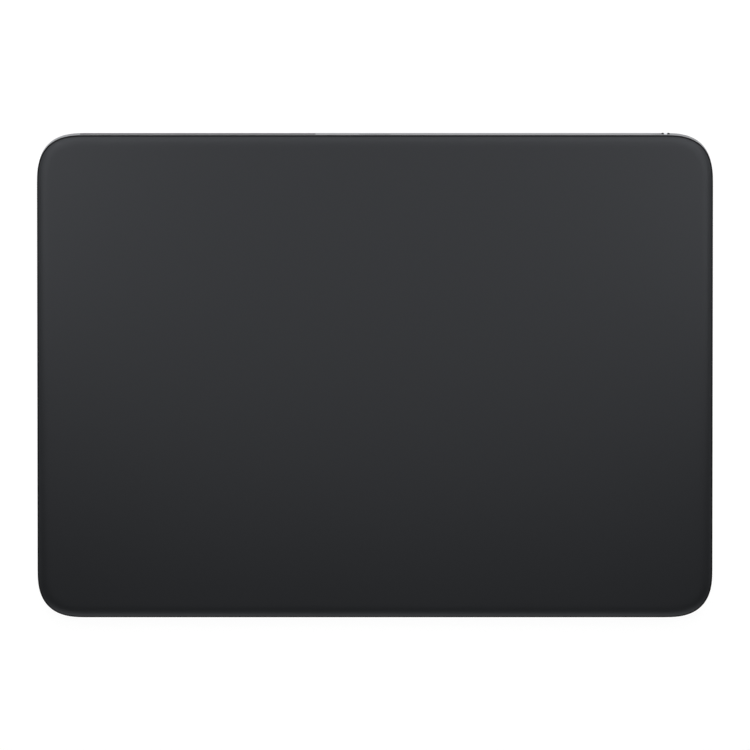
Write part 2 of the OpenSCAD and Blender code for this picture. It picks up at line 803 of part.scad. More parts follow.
module flexure_screw_places() {
    for (y = [-1, 1]) translate([clamp_len / 2, y * flexure_screw_pitch / 2, 0]) children();
}

module flexure(side, end) {
    color("lightsteelblue") at_flexure(side, end) translate([0, 0, -leaf_depth]) {
        linear_extrude(leaf_t) difference() {
            union() {
                translate([0, -leaf_w / 2]) square([clamp_len, leaf_w]);
                translate([0, -neck_w / 2]) square([leaf_len, neck_w]);
                translate([leaf_len - free_len, -leaf_w / 2]) square([free_len, leaf_w]);
            }
            flexure_screw_places() circle(clear_r);
        }
    }
}

module gel_pad(side, end) {
    color("slategray") at_flexure(side, end) {
        box_between(
            [leaf_len - free_len, -leaf_w / 2, -leaf_top_depth],
            [leaf_len, leaf_w / 2, -stack_depth]
        );
    }
}

module strain_gauges() {
    color("goldenrod") for (side = [-1, 1], end = [-1, 1]) {
        at_flexure(side, end) box_between(
            [clamp_len + gauge_margin, -gauge_w / 2, -leaf_top_depth],
            [leaf_len - free_len - gauge_margin, gauge_w / 2, gauge_t - leaf_top_depth]
        );
    }
}

module flexure_screws() {
    color("gray") for (side = [-1, 1], end = [-1, 1]) {
        at_flexure(side, end) flexure_screw_places() translate([0, 0, -leaf_top_depth]) screw(leaf_t);
    }
}

module gauge_flex(side, board_x) {
    edge_x = gauge_flex_x + gauge_flex_w / 2;
    color("darkorange") translate([0, 0, floor_top]) linear_extrude(flex_t) {
        translate([side * gauge_flex_x - gauge_flex_w / 2, flexure_front_y]) {
            square([gauge_flex_w, gauge_flex_y - flexure_front_y]);
        }
        translate([side > 0 ? board_x : -edge_x, gauge_flex_y - gauge_flex_w / 2]) {
            square([edge_x - abs(board_x), gauge_flex_w]);
        }
    }
}

// Antenna

module antenna_window() {
    color("darkgray") translate([window_x, 0, window_z]) {
        run_y(inner_y, rear_y) rounded_outline(window_l, window_h, window_r);
        run_y(inner_y - window_flange_t, inner_y) {
            rounded_outline(
                window_l + 2 * window_flange, window_h + 2 * window_flange, window_r + window_flange
            );
        }
    }
}

module antenna() {
    color("peru") translate([window_x, 0, window_z]) run_y(antenna_front_y, antenna_rear_y) {
        square([window_l - 2 * antenna_inset, window_h - 2 * antenna_inset], center = true);
    }
}

module antenna_contact() {
    half = antenna_contact_w / 2;
    color("gold") run_x(antenna_contact_x - half, antenna_contact_x + half) {
        translate([board_rear_y - antenna_contact_foot, board_top]) {
            square([antenna_front_y - board_rear_y + antenna_contact_foot, antenna_contact_t]);
        }
        translate([antenna_front_y - antenna_contact_t, board_top]) {
            square([antenna_contact_t, antenna_contact_h]);
        }
    }
}

// Charging port

module port_shell() {
    color("lightgray") translate([0, 0, rear_mid_z]) run_y(port_back_y, port_front_y) difference() {
        rounded_outline(shell_w, shell_h, insulator_r + shell_t);
        rounded_outline(insulator_w, insulator_h, insulator_r);
    }
}

module port_insulator() {
    color([0.15, 0.15, 0.15]) difference() {
        translate([0, 0, rear_mid_z]) difference() {
            run_y(port_back_y, port_front_y) rounded_outline(insulator_w, insulator_h, insulator_r);
            run_y(port_front_y - plug_depth, port_front_y + wall) pill(plug_w, plug_h);
        }
        contact_row();
    }
}

module contact_row() {
    for (i = [0 : contact_count - 1]) {
        x = (i - (contact_count - 1) / 2) * contact_pitch;
        box_between(
            [x - contact_w / 2, port_back_y - tail_len, contact_z],
            [x + contact_w / 2, port_front_y - contact_setback, contact_z + contact_t]
        );
    }
}

module port_contacts() {
    color("gold") contact_row();
}

module port_bracket() {
    color("lightgray") difference() {
        run_y(port_mid_y - strap_len / 2, port_mid_y + strap_len / 2) {
            translate([-shell_w / 2 - strap_t, shell_top]) square([shell_w + 2 * strap_t, strap_t]);
            for (side = [-1, 1]) {
                translate([side * (shell_w + strap_t) / 2, (ear_z + shell_top + strap_t) / 2]) {
                    square([strap_t, shell_top + strap_t - ear_z], center = true);
                }
                translate([side * (shell_w + strap_t + ear_len) / 2, ear_z + strap_t / 2]) {
                    square([strap_t + ear_len, strap_t], center = true);
                }
            }
        }
        for (side = [-1, 1]) {
            translate([side * ear_x, port_mid_y, ear_z - strap_t]) cylinder(r = clear_r, h = 3 * strap_t);
        }
    }
}

module bracket_screws() {
    color("gray") for (side = [-1, 1]) {
        translate([side * ear_x, port_mid_y, ear_z + strap_t]) screw(strap_t);
        translate([slot_x + side * bracket_screw_x, bracket_screw_y, board_top]) screw(bracket_t);
    }
}

module port_flex() {
    color("darkorange") box_between(
        [-port_flex_w / 2, port_back_y - tail_len - port_flex_len, board_top],
        [port_flex_w / 2, port_back_y - notch_gap / 2, contact_z]
    );
}

// Power switch

module indicator_outline() {
    x0 = knob_x + knob_w / 2 + indicator_margin;
    x1 = knob_x + slider_half_l - indicator_margin;
    translate([(x0 + x1) / 2, rear_mid_z]) square([x1 - x0, indicator_h], center = true);
}

module switch_slider() {
    color("silver") difference() {
        union() {
            run_y(slider_front_y, slider_rear_y) translate([knob_x, rear_mid_z]) {
                square([2 * slider_half_l, 2 * slider_half_h], center = true);
            }
            run_y(slider_rear_y, rear_y - knob_recess) translate([knob_x, rear_mid_z]) {
                pill(knob_w, knob_h);
            }
            run_y(slider_rear_y, rear_y + rib_proud) translate([knob_x, rear_mid_z]) {
                rounded_outline(rib_w, knob_h - 2 * rib_inset, rib_r);
            }
        }
        run_y(slider_rear_y - indicator_t, slider_rear_y) indicator_outline();
        nub_box(nub_fit, nub_fit);
    }
}

module switch_indicator() {
    color("limegreen") run_y(slider_rear_y - indicator_t, slider_rear_y) indicator_outline();
}

// The actuator nub, grown by a clearance round it and at its tip.
module nub_box(around, tip) {
    box_between(
        [knob_x - nub_w / 2 - around, switch_rear_y - nub_reach, rear_mid_z - nub_h / 2 - around],
        [knob_x + nub_w / 2 + around, slider_front_y + nub_reach + tip, rear_mid_z + nub_h / 2 + around]
    );
}

module switch_actuator() {
    color("white") nub_box(0, 0);
}

module switch_body() {
    color([0.2, 0.2, 0.2]) difference() {
        box_between(
            [slot_x - switch_l / 2, switch_front_y, switch_bottom],
            [slot_x + switch_l / 2, switch_rear_y, switch_top]
        );
        box_between(
            [
                knob_x - switch_travel - nub_w / 2 - nub_fit,
                switch_rear_y - nub_reach - nub_fit,
                rear_mid_z - nub_h / 2 - nub_fit
            ],
            [knob_x + nub_w / 2 + nub_fit, slider_front_y, rear_mid_z + nub_h / 2 + nub_fit]
        );
    }
}

module switch_bracket() {
    color("lightgray") difference() {
        union() {
            box_between(
                [slot_x - bracket_l / 2, bracket_front_y, board_top - bracket_t],
                [slot_x + bracket_l / 2, bracket_rear_y, board_top]
            );
            box_between(
                [slot_x - stop_w / 2, switch_front_y - bracket_t, board_top - bracket_t],
                [slot_x + stop_w / 2, switch_front_y, switch_top]
            );
        }
        for (side = [-1, 1]) {
            translate([slot_x + side * bracket_screw_x, bracket_screw_y, board_top - 2 * bracket_t]) {
                cylinder(r = clear_r, h = 3 * bracket_t);
            }
        }
    }
}

module switch_flex() {
    flex_rear = bracket_rear_y - switch_gap;
    color("darkorange") box_between(
        [board_right_x - switch_flex_len, flex_rear - switch_flex_w, board_top],
        [slot_x, flex_rear, switch_bottom]
    );
}

// Logic board

module logic_board() {
    color("darkgreen") translate([0, 0, board_bottom]) linear_extrude(board_t) difference() {
        translate([board_left_x, board_front_y]) square([board_right_x - board_left_x, board_d]);
        translate([-notch_half, notch_y]) square([2 * notch_half, board_d]);
        for (x = board_screws_x) translate([x, board_mid_y]) circle(clear_r);
    }
}

module board_screws() {
    color("gray") for (x = board_screws_x) translate([x, board_mid_y, board_top]) screw(board_t);
}

// A component standing on the logic board, centred on a place.
module on_board(x, y, size) {
    translate([x - size.x / 2, y - size.y / 2, board_top]) cube(size);
}

chip_y = board_mid_y + passive_inset;
shield_x = antenna_contact_x - antenna_contact_w - shield_size.x / 2;
processor_x = (board_screws_x[0] + shield_x - shield_size.x / 2) / 2;
charger_x = board_screws_x[2] + boss_dia / 2 + charger_w;
amplifier_x = charger_x + charger_w + amplifier_w / 2;

module processor_chip() {
    color([0.1, 0.1, 0.1]) on_board(processor_x, chip_y, [processor_w, processor_w, chip_t]);
}

module radio_shield() {
    color("lightgray") on_board(shield_x, chip_y, [shield_size.x, shield_size.y, shield_h]);
}

module charger_chip() {
    color([0.1, 0.1, 0.1]) on_board(charger_x, chip_y, [charger_w, charger_w, chip_t]);
}

module force_amplifier_chip() {
    color([0.1, 0.1, 0.1]) on_board(amplifier_x, chip_y, [amplifier_w, amplifier_w, chip_t]);
}

module board_passives() {
    row_y = board_front_y + passive_inset;
    row_end_x = touch_flex_x - touch_flex_w / 2 - passive_pitch;
    color("tan") {
        for (x = [board_left_x + passive_pitch : passive_pitch : row_end_x]) on_board(x, row_y, passive_size);
    }
}

module touch_connector() {
    color("ivory") on_board(
        touch_flex_x, touch_loop_y + touch_flex_end - touch_connector_d / 2,
        [touch_flex_w, touch_connector_d, touch_connector_h]
    );
}

module battery_connector() {
    size = [battery_connector_size.x, battery_connector_size.y, lead_z - board_top];
    color("ivory") on_board(lead_x, lead_y, size);
}

module haptic_connector() {
    rear = board_front_y + underboard_reach;
    color("ivory") box_between(
        [haptic_flex_x - haptic_flex_w / 2, rear - underboard_connector_d, floor_top + flex_t],
        [haptic_flex_x + haptic_flex_w / 2, rear, board_bottom]
    );
}

module gauge_connectors() {
    color("ivory") for (x = [board_left_x, board_right_x - gauge_connector_l]) {
        box_between(
            [x, gauge_flex_y - underboard_connector_d / 2, floor_top + flex_t],
            [x + gauge_connector_l, gauge_flex_y + underboard_connector_d / 2, board_bottom]
        );
    }
}

// Battery

module battery_cell() {
    color([0.25, 0.25, 0.27]) {
        translate([0, battery_mid_y, battery_z]) {
            linear_extrude(battery_t) rounded_outline(battery_w, battery_d, battery_r);
        }
        box_between(
            [battery_w / 2 - battery_r, battery_mid_y - terrace_l / 2, terrace_z],
            [battery_w / 2 + terrace_w, battery_mid_y + terrace_l / 2, terrace_z + terrace_t]
        );
    }
}

module battery_protection_board() {
    half = terrace_l / 2 - protection_inset;
    color("darkgreen") box_between(
        [battery_w / 2 + protection_inset, battery_mid_y - half, lead_z - protection_t],
        [battery_w / 2 + terrace_w - protection_inset, battery_mid_y + half, lead_z]
    );
}

// From the protection board over the cell, and back to the connector on the logic board
module battery_lead() {
    right_x = battery_w / 2 + terrace_w - protection_inset;
    color("darkorange") translate([lead_x - lead_w / 2, battery_mid_y - lead_w / 2, lead_z]) {
        linear_extrude(lead_t) {
            square([right_x - lead_x + lead_w / 2, lead_w]);
            square([lead_w, lead_y - battery_mid_y + lead_w]);
        }
    }
}

module battery_adhesive() {
    rows = [battery_front_y + adhesive_inset, battery_rear_y - adhesive_inset - adhesive_w];
    color("white") for (side = [-1, 1], y = rows) {
        translate([side * (adhesive_lane + adhesive_l / 2), y + adhesive_w / 2, floor_top]) {
            linear_extrude(adhesive_t) square([adhesive_l, adhesive_w], center = true);
        }
    }
}

// Touch flex: one looped strip from the moving sensor board down to the logic board

module touch_flex() {
    half = touch_flex_w / 2;
    mid_z = (touch_flex_high + touch_flex_low) / 2;
    color("darkorange") run_x(touch_flex_x - half, touch_flex_x + half) {
        translate([touch_loop_y, touch_flex_low]) square([touch_flex_end, flex_t]);
        translate([touch_loop_y, touch_flex_high]) rotate(tilt) {
            translate([-flex_t, -flex_t]) square([touch_flex_end, flex_t]);
        }
        translate([touch_loop_y, mid_z]) intersection() {
            difference() {
                circle(touch_loop_r);
                circle(touch_loop_r - flex_t);
            }
            translate([-touch_loop_r, -touch_loop_r]) square([touch_loop_r, 2 * touch_loop_r]);
        }
    }
}

// Haptic engine

module haptic_frame() {
    color("lightgray") translate([0, haptic_y, frame_z]) linear_extrude(frame_t) difference() {
        translate([frame_left_x, -frame_half]) square([pole_x - frame_left_x, 2 * frame_half]);
        translate([coil_left_x - coil_window_gap, -coil_w / 2 - coil_window_gap]) {
            square([coil_l + 2 * coil_window_gap, coil_w + 2 * coil_window_gap]);
        }
        for (x = frame_screws_x, side = [-1, 1]) translate([x, side * frame_screw_y]) circle(clear_r);
    }
}

module haptic_core() {
    color("dimgray") translate([core_left_x, haptic_y, core_z]) linear_extrude(core_t) {
        translate([0, -core_half]) square([core_bar, 2 * core_half]);
        translate([0, -middle_leg_w / 2]) square([core_bar + core_leg, middle_leg_w]);
        for (side = [-1, 1]) {
            translate([(core_bar + core_leg) / 2, side * (core_half - outer_leg_w / 2)]) {
                square([core_bar + core_leg, outer_leg_w], center = true);
            }
        }
    }
}

module haptic_coil() {
    color("peru") translate([0, haptic_y, core_mid_z]) run_x(coil_left_x, coil_right_x) difference() {
        rounded_outline(coil_w, coil_h, coil_r);
        square([coil_bore_w, coil_bore_h], center = true);
    }
}

module haptic_armature() {
    color("dimgray") in_plate() translate([pole_gap / 2, haptic_y, -stack_depth]) {
        box_between([0, -core_half, -armature_h], [armature_w, core_half, 0]);
        box_between([0, -core_half, -armature_flange_t], [armature_w + armature_flange, core_half, 0]);
    }
}

module haptic_screws() {
    color("gray") for (x = frame_screws_x, side = [-1, 1]) {
        translate([x, haptic_y + side * frame_screw_y, frame_z + frame_t]) screw(frame_t);
    }
}

module haptic_flex() {
    color("darkorange") box_between(
        [haptic_flex_x - haptic_flex_w / 2, haptic_y, floor_top],
        [haptic_flex_x + haptic_flex_w / 2, board_front_y + underboard_reach, floor_top + flex_t]
    );
}

enclosure();
touch_glass();
touch_sensor_board();
touch_controller_chip();
stiffener_plate();
rim_gasket();
antenna_window();
antenna();
antenna_contact();
port_shell();
port_insulator();
port_contacts();
port_bracket();
bracket_screws();
port_flex();
switch_slider();
switch_indicator();
switch_body();
switch_actuator();
switch_bracket();
switch_flex();
logic_board();
processor_chip();
radio_shield();
charger_chip();
force_amplifier_chip();
board_passives();
touch_connector();
battery_connector();
haptic_connector();
gauge_connectors();
board_screws();
battery_cell();
battery_protection_board();
battery_lead();
battery_adhesive();
touch_flex();
haptic_frame();
haptic_core();
haptic_coil();
haptic_armature();
haptic_screws();
haptic_flex();
flexure(-1, -1);  // flexure_front_left
flexure(1, -1);  // flexure_front_right
flexure(-1, 1);  // flexure_rear_left
flexure(1, 1);  // flexure_rear_right
gel_pad(-1, -1);  // gel_pad_front_left
gel_pad(1, -1);  // gel_pad_front_right
gel_pad(-1, 1);  // gel_pad_rear_left
gel_pad(1, 1);  // gel_pad_rear_right
strain_gauges();
flexure_screws();
gauge_flex(-1, board_left_x + gauge_connector_l);  // gauge_flex_left
gauge_flex(1, board_right_x - gauge_connector_l);  // gauge_flex_right
foot(-1, -1);  // foot_front_left
foot(1, -1);  // foot_front_right
foot(-1, 1);  // foot_rear_left
foot(1, 1);  // foot_rear_right
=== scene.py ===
# %% [markdown]
# # A glass trackpad
# The part is a thin wedge: a black glass plate that floats over an aluminium tray, with a plastic window,
# a charging port and a slide switch in the tray's rear wall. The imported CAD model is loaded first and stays
# where it is. Pieces that show or bend are then built finer over it, and every other solid gets its finish.

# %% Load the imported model
import json
import math
from contextlib import contextmanager

import bmesh
import bpy
from mathutils import Matrix, Vector


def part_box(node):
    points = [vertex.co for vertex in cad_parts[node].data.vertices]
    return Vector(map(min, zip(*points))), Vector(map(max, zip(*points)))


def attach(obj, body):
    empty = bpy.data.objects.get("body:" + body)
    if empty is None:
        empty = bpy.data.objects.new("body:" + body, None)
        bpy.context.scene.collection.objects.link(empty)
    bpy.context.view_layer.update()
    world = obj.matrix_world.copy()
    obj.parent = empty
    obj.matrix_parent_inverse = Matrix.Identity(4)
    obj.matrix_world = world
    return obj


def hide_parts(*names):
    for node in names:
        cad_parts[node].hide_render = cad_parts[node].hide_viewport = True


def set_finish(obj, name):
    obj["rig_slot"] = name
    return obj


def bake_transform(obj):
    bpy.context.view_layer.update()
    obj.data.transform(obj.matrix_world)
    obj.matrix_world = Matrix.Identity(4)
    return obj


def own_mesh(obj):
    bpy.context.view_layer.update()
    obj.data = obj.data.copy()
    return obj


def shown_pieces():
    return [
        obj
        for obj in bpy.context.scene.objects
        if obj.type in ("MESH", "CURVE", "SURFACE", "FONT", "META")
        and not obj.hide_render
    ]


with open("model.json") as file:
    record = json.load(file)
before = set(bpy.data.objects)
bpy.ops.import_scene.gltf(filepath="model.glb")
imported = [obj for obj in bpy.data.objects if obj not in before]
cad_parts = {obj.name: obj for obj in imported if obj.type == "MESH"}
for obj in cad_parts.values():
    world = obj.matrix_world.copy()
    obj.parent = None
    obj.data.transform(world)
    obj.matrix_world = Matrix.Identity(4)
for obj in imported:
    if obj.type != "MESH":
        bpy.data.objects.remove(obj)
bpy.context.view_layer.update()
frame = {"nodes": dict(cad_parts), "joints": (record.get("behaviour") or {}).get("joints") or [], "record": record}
nodes = frame["nodes"]
scene = bpy.context.scene
MM = 0.001                 # Blender works in metres


# %% [markdown]
# ## Where the plate lies
# The plate slopes: it is about 6 mm higher at the rear. Its slope needn't be typed in: the press joint pushes
# the plate straight in, so that joint's axis is the plate's normal turned round. Everything about the plate
# is then measured along three directions: across (X), up the slope, and out of the face.

# %% Measure the plate's frame
joints = {joint["name"]: joint for joint in frame["joints"]}
across = Vector((1, 0, 0))
face_normal = -Vector(joints["touch_press"]["axis"]).normalized()
up_slope = Vector((0, face_normal.z, -face_normal.y))


def reach(node, direction):
    """Lowest and highest place of a CAD node along a direction."""
    along = [v.co.dot(direction) for v in nodes[node].data.vertices]
    return min(along), max(along)


plate_low, plate_top = reach("touch_glass", face_normal)
plate_front, plate_rear = reach("touch_glass", up_slope)
plate_w = 2 * reach("touch_glass", across)[1]
plate_d = plate_rear - plate_front
plate_t = plate_top - plate_low
plate_origin = face_normal * plate_top + up_slope * (plate_front + plate_rear) / 2
plate_turn = Matrix((across, up_slope, face_normal)).transposed()
plate_frame = Matrix.Translation(plate_origin) @ plate_turn.to_4x4()
print(f"plate {plate_w / MM:.2f} x {plate_d / MM:.2f} x {plate_t / MM:.2f} mm")
print(f"its slope is {math.degrees(math.asin(up_slope.z)):.2f} degrees")

# %% [markdown]
# ## Outlines and lofts
# The pad's corners aren't plain arcs: the curve eases into the straight edges, so a reflection runs round the
# corner without a kink. A superellipse does that, because its curvature is zero where it meets the edge. The
# same function with power 2 gives plain round corners for the window, the port and the switch. A solid is
# then a stack of rings: the outline, drawn in by some inset and lifted to some height, one after another.


# %% Outlines
def quarter_turn(steps):
    """Angles from 0 to 90 degrees in even steps."""
    return [math.pi / 2 * k / steps for k in range(steps + 1)]


def outline(width, depth, corner, power=2.0, steps=24):
    """Points of a rounded rectangle with their outward normals, evenly spaced by the turn of the normal."""
    quarter = []
    for turn in quarter_turn(steps)[:-1]:
        slope = math.tan(turn) ** (1 / (power - 1))
        x = corner / (1 + slope**power) ** (1 / power)
        quarter.append((x, slope * x, math.cos(turn), math.sin(turn)))
    quarter.append((0.0, corner, 0.0, 1.0))
    points = []
    # Each corner is this quarter turned on by 90 degrees: c and s are the cosine and sine of its turn.
    for c, s, cx, cy in ((1, 0, 1, 1), (0, 1, -1, 1), (-1, 0, -1, -1), (0, -1, 1, -1)):
        mid_x, mid_y = cx * (width / 2 - corner), cy * (depth / 2 - corner)
        for x, y, nx, ny in quarter:
            points.append((mid_x + c * x - s * y, mid_y + s * x + c * y, c * nx - s * ny, s * nx + c * ny))
    return points


print("a plain outline has", len(outline(2, 1, 0.3)), "points")

# %% Skins and lofts
WELD = 1e-4 * MM           # points closer than this are one point


@contextmanager
def editing(mesh):
    """Opens a mesh for editing, and puts the result back into it."""
    work = bmesh.new()
    work.from_mesh(mesh)
    yield work
    work.to_mesh(mesh)
    work.free()


def skin(name, rings, bands=None, looped=False):
    """A closed mesh over a stack of rings, capped at both ends, or looped from the last ring to the first.
    bands gives the material index of each strip between two rings."""
    count = len(rings[0])
    faces, material = [], []
    for r in range(len(rings) if looped else len(rings) - 1):
        here, there = r * count, (r + 1) % len(rings) * count
        for k in range(count):
            n = (k + 1) % count
            faces.append((here + k, here + n, there + n, there + k))
            material.append(bands[r] if bands else 0)
    if not looped:
        last = (len(rings) - 1) * count
        faces += [tuple(reversed(range(count))), tuple(range(last, last + count))]
        material += [bands[0], bands[-1]] if bands else [0, 0]
    mesh = bpy.data.meshes.new(name)
    mesh.from_pydata([p for one in rings for p in one], [], faces)
    mesh.polygons.foreach_set("material_index", material)
    with editing(mesh) as work:
        bmesh.ops.remove_doubles(work, verts=work.verts, dist=WELD)
        bmesh.ops.recalc_face_normals(work, faces=work.faces)
    return mesh


def ring(points, inset, place):
    """The outline drawn in by an inset, put into the part's frame by place(x, y)."""
    return [place(x - inset * nx, y - inset * ny) for x, y, nx, ny in points]


def loft(name, shape, stations, place, **options):
    """A skin over copies of one outline. Each station has an inset and the value that places its copy."""
    return skin(name, [ring(shape, inset, place(at)) for inset, at in stations], **options)


# %% Pieces that ride on the model
def smooth(mesh, sharp_degrees=32):
    """Smooth shading, with the edges that turn more than the given angle left sharp."""
    mesh.shade_smooth()
    mesh.set_sharp_from_angle(angle=math.radians(sharp_degrees))
    return mesh


def add_piece(name, mesh, body, slot, *stands_for):
    """Puts a mesh in the scene, rides it on a CAD body and says which CAD nodes it stands for.
    A piece that bends between two bodies rides on none, so its body is None."""
    piece = bpy.data.objects.new(name, mesh)
    scene.collection.objects.link(piece)
    if body:
        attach(piece, body)
    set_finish(piece, slot)
    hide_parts(*stands_for)
    print(f"{name}: {len(mesh.vertices)} points, {len(mesh.polygons)} faces")
    return piece


# %% [markdown]
# ## The glass plate
# The plate is cut from thin glass. Its upper edge is ground to a soft slope that starts flat and gets steeper
# towards the rim, then turns over into a short upright side with a fine bevel below. A cube with a bevel
# modifier would give an arc with a visible start, so the profile is written out: a cubic for the slope, a
# small curve for the turn, and the rings are lofted through it. The outermost strip is a finish of its own,
# because the ground side of the glass is duller and darker than its etched face.

# %% Draw the glass plate's profile
SLOPE_RUN = 3.38 * MM      # width of the ground slope
SLOPE_DROP = 0.7 * MM      # height of the ground slope
SLOPE_STEPS = 16
TURN_RUN = 0.3 * MM        # width of the strip where the slope turns over
TURN_STEPS = 8
SIDE_TOP = 0.74 * MM       # depth at which the upright side starts
UNDER_BEVEL = 0.12 * MM    # bevel round the lower edge


def slope_depth(inset):
    """Depth of the ground slope under the face."""
    return SLOPE_DROP * (1 - inset / SLOPE_RUN) ** 3


# The turn runs from the side's top to the slope's lower end, and leans to the knee where they would meet.
turn_depth = slope_depth(TURN_RUN)
turn_slope = 3 * SLOPE_DROP / SLOPE_RUN * (1 - TURN_RUN / SLOPE_RUN) ** 2
turn_knee = turn_depth + turn_slope * TURN_RUN
profile = [(UNDER_BEVEL, plate_t), (0.0, plate_t - UNDER_BEVEL)]
for k in range(TURN_STEPS + 1):
    t = k / TURN_STEPS
    depth = SIDE_TOP * (1 - t) ** 2 + 2 * turn_knee * t * (1 - t) + turn_depth * t * t
    profile.append((TURN_RUN * t * t, depth))
ground_strips = len(profile) - 1
for k in range(1, SLOPE_STEPS + 1):
    inset = TURN_RUN + (SLOPE_RUN - TURN_RUN) * k / SLOPE_STEPS
    profile.append((inset, slope_depth(inset)))
print(f"the slope gets {math.degrees(math.atan(turn_slope)):.0f} degrees steep")

# %% Loft the glass plate
CORNER_REACH = 11.5 * MM   # where the corner's curve starts, measured from the corner of the plan
CORNER_POWER = 2.7         # with that reach, it passes where an arc of 8.9 mm would
CORNER_STEPS = 36
ETCHED, GROUND = 0, 1      # order of the plate's two finishes


def on_plate(depth, mid=Vector()):
    """Places at some depth under the plate's face, round a middle point."""
    return lambda x, y: plate_frame @ Vector((mid.x + x, mid.y + y, -depth))


pad_outline = outline(plate_w, plate_d, CORNER_REACH, CORNER_POWER, CORNER_STEPS)
glass_bands = [GROUND] * ground_strips + [ETCHED] * SLOPE_STEPS
glass_mesh = smooth(loft("glass_plate", pad_outline, profile, on_plate, bands=glass_bands), sharp_degrees=60)
glass = add_piece("glass_plate", glass_mesh, "touch_plate", "satin_glass", "touch_glass")

# %% [markdown]
# ## The tray
# The real tray is milled from one block of aluminium: outside walls with a rounded lower edge, and inside a
# pocket with bosses and pedestals. The outside is lofted fine, as the plate is. The inside needn't be drawn
# again, because the CAD solid has it: a block that ends halfway through the walls, less the CAD tray, leaves
# just the hollow, and cutting that hollow from the lofted block gives walls, floor and bosses in one piece.
# The three openings in the rear wall are then cut with a fine bevel, as a deburred edge has.

# %% Carving helpers
CAD_WELD = 2e-4 * MM       # points of the CAD's mesh closer than this are one point


def scratch(mesh):
    """An object that is only needed for its modifiers."""
    thing = bpy.data.objects.new(mesh.name, mesh)
    scene.collection.objects.link(thing)
    return thing


def applied(thing):
    """The mesh that a scratch object's modifiers make. The object is removed."""
    bpy.context.view_layer.update()
    mesh = bpy.data.meshes.new_from_object(thing.evaluated_get(bpy.context.evaluated_depsgraph_get()))
    bpy.data.objects.remove(thing)
    return mesh


def carved(mesh, cut):
    """One closed mesh less another."""
    solid, cutter = scratch(mesh), scratch(cut)
    modifier = solid.modifiers.new("carve", "BOOLEAN")
    modifier.operation = "DIFFERENCE"
    modifier.solver = "EXACT"
    modifier.object = cutter
    left = applied(solid)
    bpy.data.objects.remove(cutter)
    return left


def welded_copy(node):
    """A CAD node's points and faces as a new mesh with its corners joined. The normals that the CAD mesh has
    are left behind, because they would be wrong on a face that is cut or bevelled."""
    source = nodes[node].data
    mesh = bpy.data.meshes.new(node + "_copy")
    mesh.from_pydata([v.co for v in source.vertices], [], [tuple(p.vertices) for p in source.polygons])
    with editing(mesh) as work:
        bmesh.ops.remove_doubles(work, verts=work.verts, dist=CAD_WELD)
    return mesh


# %% Loft the tray's outside
LOWER_ROUND = 0.6 * MM     # radius of the tray's lower edge
RIM_BEVEL = 0.12 * MM      # bevel along the rim
tray_low, tray_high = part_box("enclosure")
tray_rim = reach("enclosure", face_normal)[1]
tray_d = tray_high.y - tray_low.y
tray_outline = outline(plate_w, tray_d, CORNER_REACH, CORNER_POWER, CORNER_STEPS)


def rounded(radius, steps):
    """A rounded edge between two faces, as distances from the first face and from the second. It starts on
    the second face and ends on the first."""
    return [(radius * (1 - math.sin(turn)), radius * (1 - math.cos(turn))) for turn in quarter_turn(steps)]


def level(z, mid=Vector()):
    """Places at one height, round a middle point."""
    return lambda x, y: Vector((mid.x + x, mid.y + y, z))


def under_rim(depth):
    """Places at some depth under the rim, which slopes as the plate does."""
    return lambda x, y: Vector((x, y, (tray_rim - depth - face_normal.y * y) / face_normal.z))


tray_rings = [
    ring(tray_outline, inset, level(tray_low.z + rise)) for inset, rise in rounded(LOWER_ROUND, steps=10)
]
tray_rings += [ring(tray_outline, inset, under_rim(drop)) for inset, drop in ((0, RIM_BEVEL), (RIM_BEVEL, 0))]
tray_mesh = skin("tray_block", tray_rings)
print("tray:", len(tray_mesh.polygons), "faces outside")

# %% Carve the pocket from the CAD tray's own hollow
FLOOR_T = 1.0 * MM         # thickness of the tray's floor
WALL = 1.6 * MM            # thickness of its walls
IN_FLOOR = 0.45 * FLOOR_T  # the carving block starts this far up in the floor
BLOCK_DROP = 0.2 * MM      # and ends this far under the rim
MOUTH_DROP = 0.3 * MM      # the pocket's mouth is cut from here, under the block's top
MOUTH_RISE = 2.0 * MM      # to here, clear above the rim
MOUTH_STEP = 0.03 * MM     # the mouth is wider by this, so that no two cuts share a face
POCKET_CORNER = 6.0 * MM   # corner radius of the pocket inside
half_wall = ring(tray_outline, WALL / 2, level(tray_low.z + IN_FLOOR))
half_wall_top = ring(tray_outline, WALL / 2, under_rim(BLOCK_DROP))
hollow = carved(skin("hollow", [half_wall, half_wall_top]), welded_copy("enclosure"))
tray_mesh = carved(tray_mesh, hollow)
mouth_inset = WALL - MOUTH_STEP
mouth_outline = outline(plate_w - 2 * mouth_inset, tray_d - 2 * mouth_inset, POCKET_CORNER)
mouth = loft("pocket_mouth", mouth_outline, ((0, MOUTH_DROP), (0, -MOUTH_RISE)), under_rim)
tray_mesh = carved(tray_mesh, mouth)
print("tray:", len(tray_mesh.polygons), "faces after the pocket")

# %% Measure the openings in the rear wall
WINDOW_FLANGE = 0.6 * MM   # the window's hidden flange, beyond its opening
PORT_MOUTH = (7.9 * MM, 2.6 * MM)
SWITCH_SLOT = (4.7 * MM, 2.0 * MM)
record = frame["record"]
rear_y = tray_high.y
window_low, window_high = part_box("antenna_window")
window_mid = (window_low + window_high) / 2
window_size = (
    window_high.x - window_low.x - 2 * WINDOW_FLANGE,
    window_high.z - window_low.z - 2 * WINDOW_FLANGE,
)
port_mount = next(m for m in record["mounts"] if m["name"] == "charging_port")
port_z = port_mount["pos_m"][2]
slider_low, slider_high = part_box("switch_slider")
knob_x = (slider_low.x + slider_high.x) / 2
slot_x = knob_x + sum(joints["switch_slide"]["range_m"]) / 2
switch_z = (slider_low.z + slider_high.z) / 2
print(f"window {window_size[0] / MM:.1f} x {window_size[1] / MM:.1f} mm, slot at X {slot_x / MM:.1f} mm")

